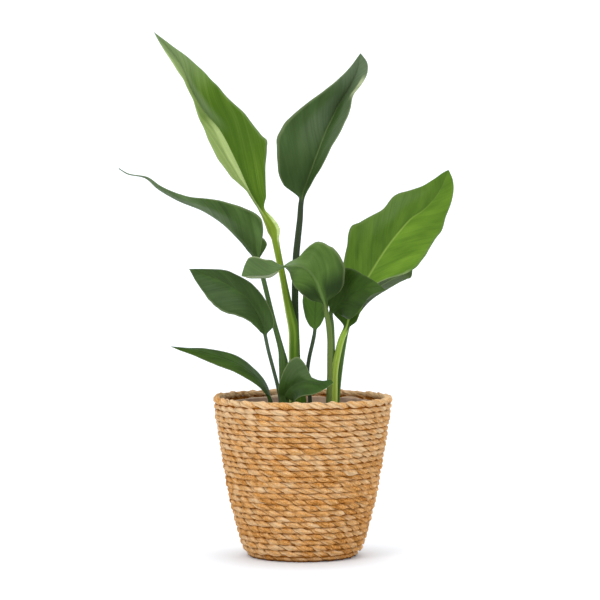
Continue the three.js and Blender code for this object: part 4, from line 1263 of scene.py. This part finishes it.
midRightLeaf = {
    "piece": "midRightLeaf", "node": "leaf_mid_right", "slot": "leaf_dark", "seed": 41,
    "stalk": ((36, 6, 190, 3, 2.8), (37, 4, 240, 2.8, 2.8), (36, 2, 280, 2.8, 2.8), (34.7, 2, 299, 2.6, 2.6)),
    "rib": (
        (42, -2, 307), (51.5, -9, 314.5), (63.5, -20, 323), (79, -36, 330), (91, -47, 331), (99, -54, 328),
    ),
    "left": (
        (0, 2, -10), (0.1, 15, -12), (0.2, 24, -12), (0.3, 31, -10), (0.42, 35, -8), (0.52, 30, -12),
        (0.62, 20, -20), (0.75, 10.5, -30), (0.88, 4, -35), (1, 0, -35),
    ),
    "right": (
        (0, 4, 20), (0.06, 12, 22), (0.15, 21, 32), (0.25, 27, 42), (0.4, 30, 46), (0.55, 29, 46),
        (0.7, 24, 46), (0.82, 17, 46), (0.92, 9, 46), (1, 0, 46),
    ),
    "curl": (-10, -10),
    "waves": (2, 0.5),
    "look": {
        "deep": (0.155, 0.24, 0.06), "mid": (0.195, 0.295, 0.085), "light": (0.25, 0.355, 0.13),
        "shadow": (0.125, 0.20, 0.05), "rib": (0.21, 0.30, 0.12), "ribStrength": 0.5,
        "stemFoot": (0.38, 0.50, 0.17), "stemTop": (0.24, 0.34, 0.14), "marginStrength": 0.15,
    },
    "paint": [
        ("deep", "right", 0.3, 1.0, 0.0, 0.45, 0.15, 0.40),
        ("deep", "left", 0.6, 1.0, 0.0, 0.25, 0.15, 0.40),
    ],
}
growLeaf(midRightLeaf)

brightRightLeaf = {
    "piece": "brightRightLeaf", "node": "leaf_bright_right", "slot": "leaf_bright", "seed": 43,
    "stalk": (
        (38, -4, 190, 4.6, 4), (39, -3, 225, 4.2, 3.8), (42, -1, 243, 4, 3.6), (47, 2, 264, 3.8, 3.4),
        (53, 6.5, 278, 3.4, 3),
    ),
    "rib": (
        (58, 12, 293), (64, 18, 309), (72, 24, 326), (81, 30, 341), (96, 37, 365), (111, 43, 386),
        (121, 46, 398), (134, 51, 412), (150, 56, 423), (163, 62, 436), (174, 67, 453), (182, 72, 473),
    ),
    "left": (
        (0, 5, 5), (0.02, 15, 8), (0.05, 21, 10), (0.1, 24, 12), (0.18, 27, 14), (0.26, 33, 16),
        (0.36, 43, 16), (0.41, 49.5, 16), (0.45, 52, 16), (0.49, 46, 18), (0.55, 39.5, 18), (0.61, 34, 16),
        (0.67, 35.5, 14), (0.71, 34.5, 14), (0.8, 26.5, 14), (0.86, 20, 14), (0.92, 13, 14), (0.97, 6, 14),
        (1, 0, 14),
    ),
    "right": (
        (0, 4, 15), (0.04, 10, 15), (0.15, 11, 20), (0.27, 13, 20), (0.33, 21.5, 18), (0.37, 29.5, 17),
        (0.42, 39, 16), (0.5, 45, 14), (0.62, 42.5, 14), (0.72, 36.5, 14), (0.8, 25.5, 18), (0.9, 17, 18),
        (0.96, 9.5, 15), (1, 0, 15),
    ),
    "curl": (-16, -12),
    "waves": (3, 0.8),
    "look": {
        "deep": (0.255, 0.38, 0.095), "mid": (0.35, 0.485, 0.135), "light": (0.42, 0.56, 0.17),
        "farSide": (0.46, 0.56, 0.34), "shadow": (0.14, 0.24, 0.045), "bloom": (0.42, 0.51, 0.31),
        "rib": (0.49, 0.60, 0.25), "ribStrength": 0.95, "stemFoot": (0.71, 0.79, 0.34),
        "stemTop": (0.52, 0.64, 0.23), "stemStreak": (0.62, 0.72, 0.34), "stemEdge": (0.78, 0.85, 0.52),
        "stemLitSide": 1.0, "stemLit": 0.55, "margin": (0.42, 0.50, 0.28), "streaks": 0.15, "ribEnd": 0.85,
    },
    "paint": [
        ("deep", "both", 0.10, 1.0, -0.02, 0.10, 0.03, 0.95),
        ("bloom", "left", 0.5, 1.0, 0.50, 0.80, 0.14, 0.34),
        ("deep", "left", 0.0, 1.0, 0.28, 1.0, 0.14, 0.48),
        ("pale", "right", 0.97, 1.0, 0.22, 0.44, 0.02, 0.45),
        ("deep", "both", 0.0, 1.0, 0.70, 1.0, 0.16, 0.25),
    ],
}
growLeaf(brightRightLeaf)

backRightLeaf = {
    "piece": "backRightLeaf", "node": "leaf_back_right", "slot": "leaf_dark", "seed": 47,
    "stalk": (
        (43, 15, 190, 2.8, 2.6), (46, 15, 224, 2.8, 2.6), (52, 20, 263, 2.6, 2.6), (56, 26, 280, 2.4, 2.4),
    ),
    "rib": ((61, 32, 290), (67, 41, 301), (79, 51, 315), (94, 62, 326), (112, 74, 336), (138, 90, 348)),
    "left": (
        (0, 2, -55), (0.1, 12, -60), (0.3, 24, -62), (0.5, 26, -62), (0.7, 22, -62), (0.9, 9, -60),
        (1, 0, -60),
    ),
    "right": (
        (0, 2, 60), (0.1, 9, 60), (0.3, 17, 68), (0.5, 21, 70), (0.7, 18, 68), (0.85, 13, 56), (0.93, 9, 35),
        (1, 0, 35),
    ),
    "curl": (0, 0),
    "waves": (2, 0.5),
    "look": {
        "deep": (0.20, 0.27, 0.11), "mid": (0.26, 0.34, 0.15), "light": (0.32, 0.41, 0.19),
        "farSide": (0.28, 0.35, 0.19), "stemFoot": (0.34, 0.48, 0.18), "stemTop": (0.28, 0.40, 0.15),
    },
}
growLeaf(backRightLeaf)

smallBackLeaf = {
    "piece": "smallBackLeaf", "node": "leaf_small_back", "slot": "leaf_dark", "seed": 53,
    "stalk": (
        (9, 22, 190, 2.5, 2.4), (6, 22, 224, 2.4, 2.4), (8, 22, 241, 2.4, 2.4), (13, 23, 263, 2.4, 2.4),
        (15, 24, 275, 2.2, 2.2),
    ),
    "rib": ((15, 27, 290), (16, 31, 306), (18, 36, 322), (21, 42, 339), (25, 50, 364)),
    "left": (
        (0, 2, 10), (0.08, 8, 10), (0.2, 13, 15), (0.35, 17, 20), (0.5, 18, 22), (0.7, 14, 22), (0.9, 5, 20),
        (1, 0, 20),
    ),
    "right": (
        (0, 2, 10), (0.08, 7.5, 10), (0.2, 13, 15), (0.35, 17, 22), (0.5, 18, 22), (0.7, 14, 22),
        (0.9, 5, 20), (1, 0, 20),
    ),
    "curl": (-8, -8),
    "waves": (2, 0.3),
    "look": {
        "deep": (0.25, 0.37, 0.13), "mid": (0.325, 0.465, 0.175), "light": (0.38, 0.53, 0.22),
        "rib": (0.30, 0.42, 0.18), "stemFoot": (0.24, 0.30, 0.20), "stemTop": (0.27, 0.33, 0.24),
    },
}
growLeaf(smallBackLeaf)

print("leaves grown")
